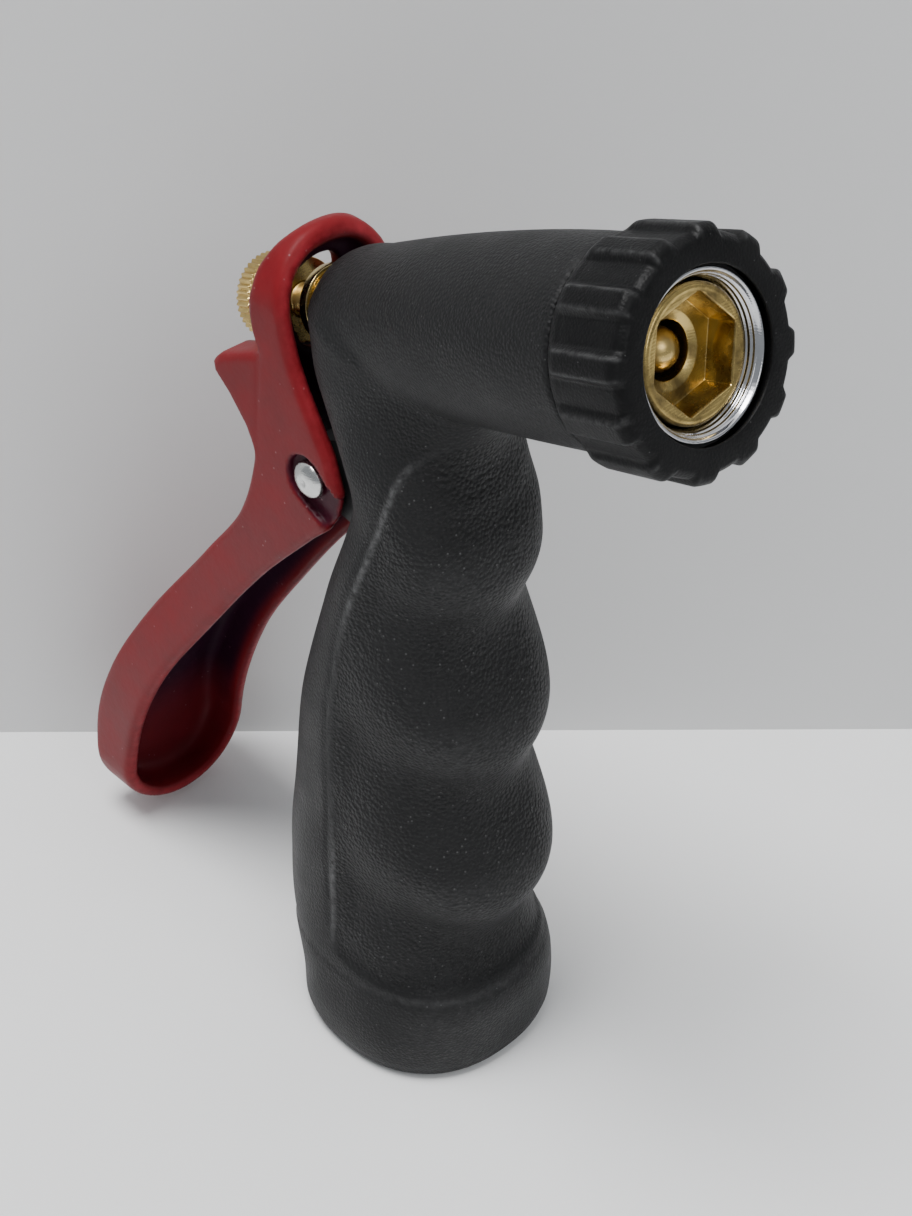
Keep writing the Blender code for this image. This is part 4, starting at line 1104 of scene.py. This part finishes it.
class NozzleLook(bpy.types.PropertyGroup):
    """Colours and light a user may want to change."""

    rubber: FloatVectorProperty(
        name="Rubber",
        description="Colour of the grip's rubber",
        subtype="COLOR",
        default=(0.0065, 0.0065, 0.0068),
        min=0,
        max=1,
    )
    bumper: FloatVectorProperty(
        name="Bumper",
        description="Colour of the front bumper",
        subtype="COLOR",
        default=(0.003, 0.003, 0.0032),
        min=0,
        max=1,
    )
    enamel: FloatVectorProperty(
        name="Enamel",
        description="Colour of the lever's enamel",
        subtype="COLOR",
        default=(0.15, 0.008, 0.011),
        min=0,
        max=1,
    )
    # Painted shade: the dark colour mixed into the lever's hollow and round the rivet
    hollow: FloatVectorProperty(
        name="Hollow",
        description="Colour deep in the lever's hollow",
        subtype="COLOR",
        default=(0.018, 0.002, 0.012),
        min=0,
        max=1,
    )
    brass: FloatVectorProperty(
        name="Brass",
        description="Colour of the brass pieces",
        subtype="COLOR",
        default=(0.6, 0.44, 0.17),
        min=0,
        max=1,
    )
    grain: FloatProperty(
        name="Grain",
        description="Depth of the rubber's grain",
        subtype="DISTANCE",
        unit="LENGTH",
        default=0.00012,
        min=0,
        max=0.001,
    )
    floor: FloatVectorProperty(
        name="Floor",
        description="Colour of the floor",
        subtype="COLOR",
        default=(0.88, 0.88, 0.88),
        min=0,
        max=1,
    )
    wall: FloatVectorProperty(
        name="Wall",
        description="Colour of the wall",
        subtype="COLOR",
        default=(0.66, 0.66, 0.66),
        min=0,
        max=1,
    )
    key_power: FloatProperty(
        name="Key light",
        description="Power of the main soft lamp",
        unit="POWER",
        default=10.5,
        min=0,
    )


class NOZZLE_OT_finishes(bpy.types.Operator):
    """Builds the shared shader groups and every finish"""

    bl_idname = "nozzle.finishes"
    bl_label = "Build finishes"

    def execute(self, context):
        look = context.scene.nozzle_look
        grain_group()
        edge_wear_and_highlight_group()
        metal_group()
        grip, ring = tuple(look.rubber), tuple(look.bumper)
        rubber_finish("Grained black rubber", grip, 2100.0, look.grain, 0.09, 0.52, 0.2)
        rubber_finish("Smooth black rubber", ring, 2600.0, look.grain * 0.3, 0.03, 0.45, 0.13)
        enamel_finish(tuple(look.enamel), tuple(look.hollow))
        brass = tuple(look.brass)
        metal_finish("Machined brass", brass, (0.24, 0.16, 0.06), 0.5, 0.22)
        metal_finish("Bright machined brass", (0.6, 0.44, 0.16), (0.1, 0.07, 0.03), 0.85, 0.16)
        metal_finish("Polished gland brass", (0.66, 0.52, 0.24), (0.25, 0.18, 0.08), 0.4, 0.12)
        metal_finish("Bright chrome", (0.58, 0.58, 0.6), (0.3, 0.3, 0.31), 0.4, 0.05)
        metal_finish("Bright plated steel", (0.66, 0.66, 0.65), (0.3, 0.3, 0.3), 0.4, 0.1)
        metal_finish("Spring wire", (0.6, 0.6, 0.6), (0.35, 0.3, 0.25), 0.3, 0.25)
        plain_finish("Black coated casting", (0.02, 0.02, 0.021), 0.5)
        plain_finish("Black nitrile", (0.02, 0.02, 0.02), 0.6)
        plain_finish("Natural nylon", (0.7, 0.69, 0.65), 0.45)
        plain_finish("Matt floor", tuple(look.floor), 0.85, 60.0, 0.00005, 0.02)
        wall = plain_finish("Matt wall", tuple(look.wall), 0.85, 60.0, 0.00005, 0.02)
        see_through_behind(wall)
        return {"FINISHED"}


class NOZZLE_OT_cover(bpy.types.Operator):
    """Builds the grained rubber cover over grip and barrel"""

    bl_idname = "nozzle.cover"
    bl_label = "Build cover"

    def execute(self, context):
        make_cover()
        return {"FINISHED"}


class NOZZLE_OT_lever(bpy.types.Operator):
    """Builds the red squeeze lever and its rivet"""

    bl_idname = "nozzle.lever"
    bl_label = "Build lever"

    def execute(self, context):
        make_lever()
        make_rivet()
        return {"FINISHED"}


class NOZZLE_OT_front(bpy.types.Operator):
    """Builds the bumper, the chrome collar, the brass seat and the valve's tip"""

    bl_idname = "nozzle.front"
    bl_label = "Build front"

    def execute(self, context):
        make_bumper()
        make_mouth()
        return {"FINISHED"}


class NOZZLE_OT_valve(bpy.types.Operator):
    """Builds the stem, gland, washer, adjusting nut and return spring"""

    bl_idname = "nozzle.valve"
    bl_label = "Build valve"

    def execute(self, context):
        make_gland()
        make_stem()
        make_adjuster()
        make_spring()
        return {"FINISHED"}


class NOZZLE_OT_inner(bpy.types.Operator):
    """Builds the inlet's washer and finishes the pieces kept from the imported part"""

    bl_idname = "nozzle.inner"
    bl_label = "Finish inner pieces"

    def execute(self, context):
        make_hose_washer()
        dress_hidden_pieces()
        return {"FINISHED"}


class NOZZLE_OT_stage(bpy.types.Operator):
    """Sets up the floor, the lamps and the camera"""

    bl_idname = "nozzle.stage"
    bl_label = "Set up stage"

    def execute(self, context):
        scene = context.scene
        make_stage()
        make_light(scene, scene.nozzle_look.key_power)
        make_camera(scene)
        return {"FINISHED"}


class NOZZLE_PT_panel(bpy.types.Panel):
    """Lists the steps in the 3D view's sidebar"""

    bl_label = "Hose nozzle"
    bl_idname = "NOZZLE_PT_panel"
    bl_space_type = "VIEW_3D"
    bl_region_type = "UI"
    bl_category = "Nozzle"

    def draw(self, context):
        """The settings first, then one button for each step."""
        look = context.scene.nozzle_look
        for name in look.__annotations__:
            self.layout.prop(look, name)
        for step in STEPS:
            self.layout.operator(step.bl_idname)


STEPS = (
    NOZZLE_OT_finishes,
    NOZZLE_OT_cover,
    NOZZLE_OT_lever,
    NOZZLE_OT_front,
    NOZZLE_OT_valve,
    NOZZLE_OT_inner,
    NOZZLE_OT_stage,
)
CLASSES = (NozzleLook, *STEPS, NOZZLE_PT_panel)


def register():
    """Registers the classes and gives each scene its settings."""
    for made in CLASSES:
        bpy.utils.register_class(made)
    bpy.types.Scene.nozzle_look = PointerProperty(type=NozzleLook)


def unregister():
    """Undoes register."""
    del bpy.types.Scene.nozzle_look
    for made in reversed(CLASSES):
        bpy.utils.unregister_class(made)


def main():
    """Runs every step in order."""
    register()
    for step in STEPS:
        name = step.bl_idname.split(".")[1]
        getattr(bpy.ops.nozzle, name)()


if __name__ == "__main__":
    main()
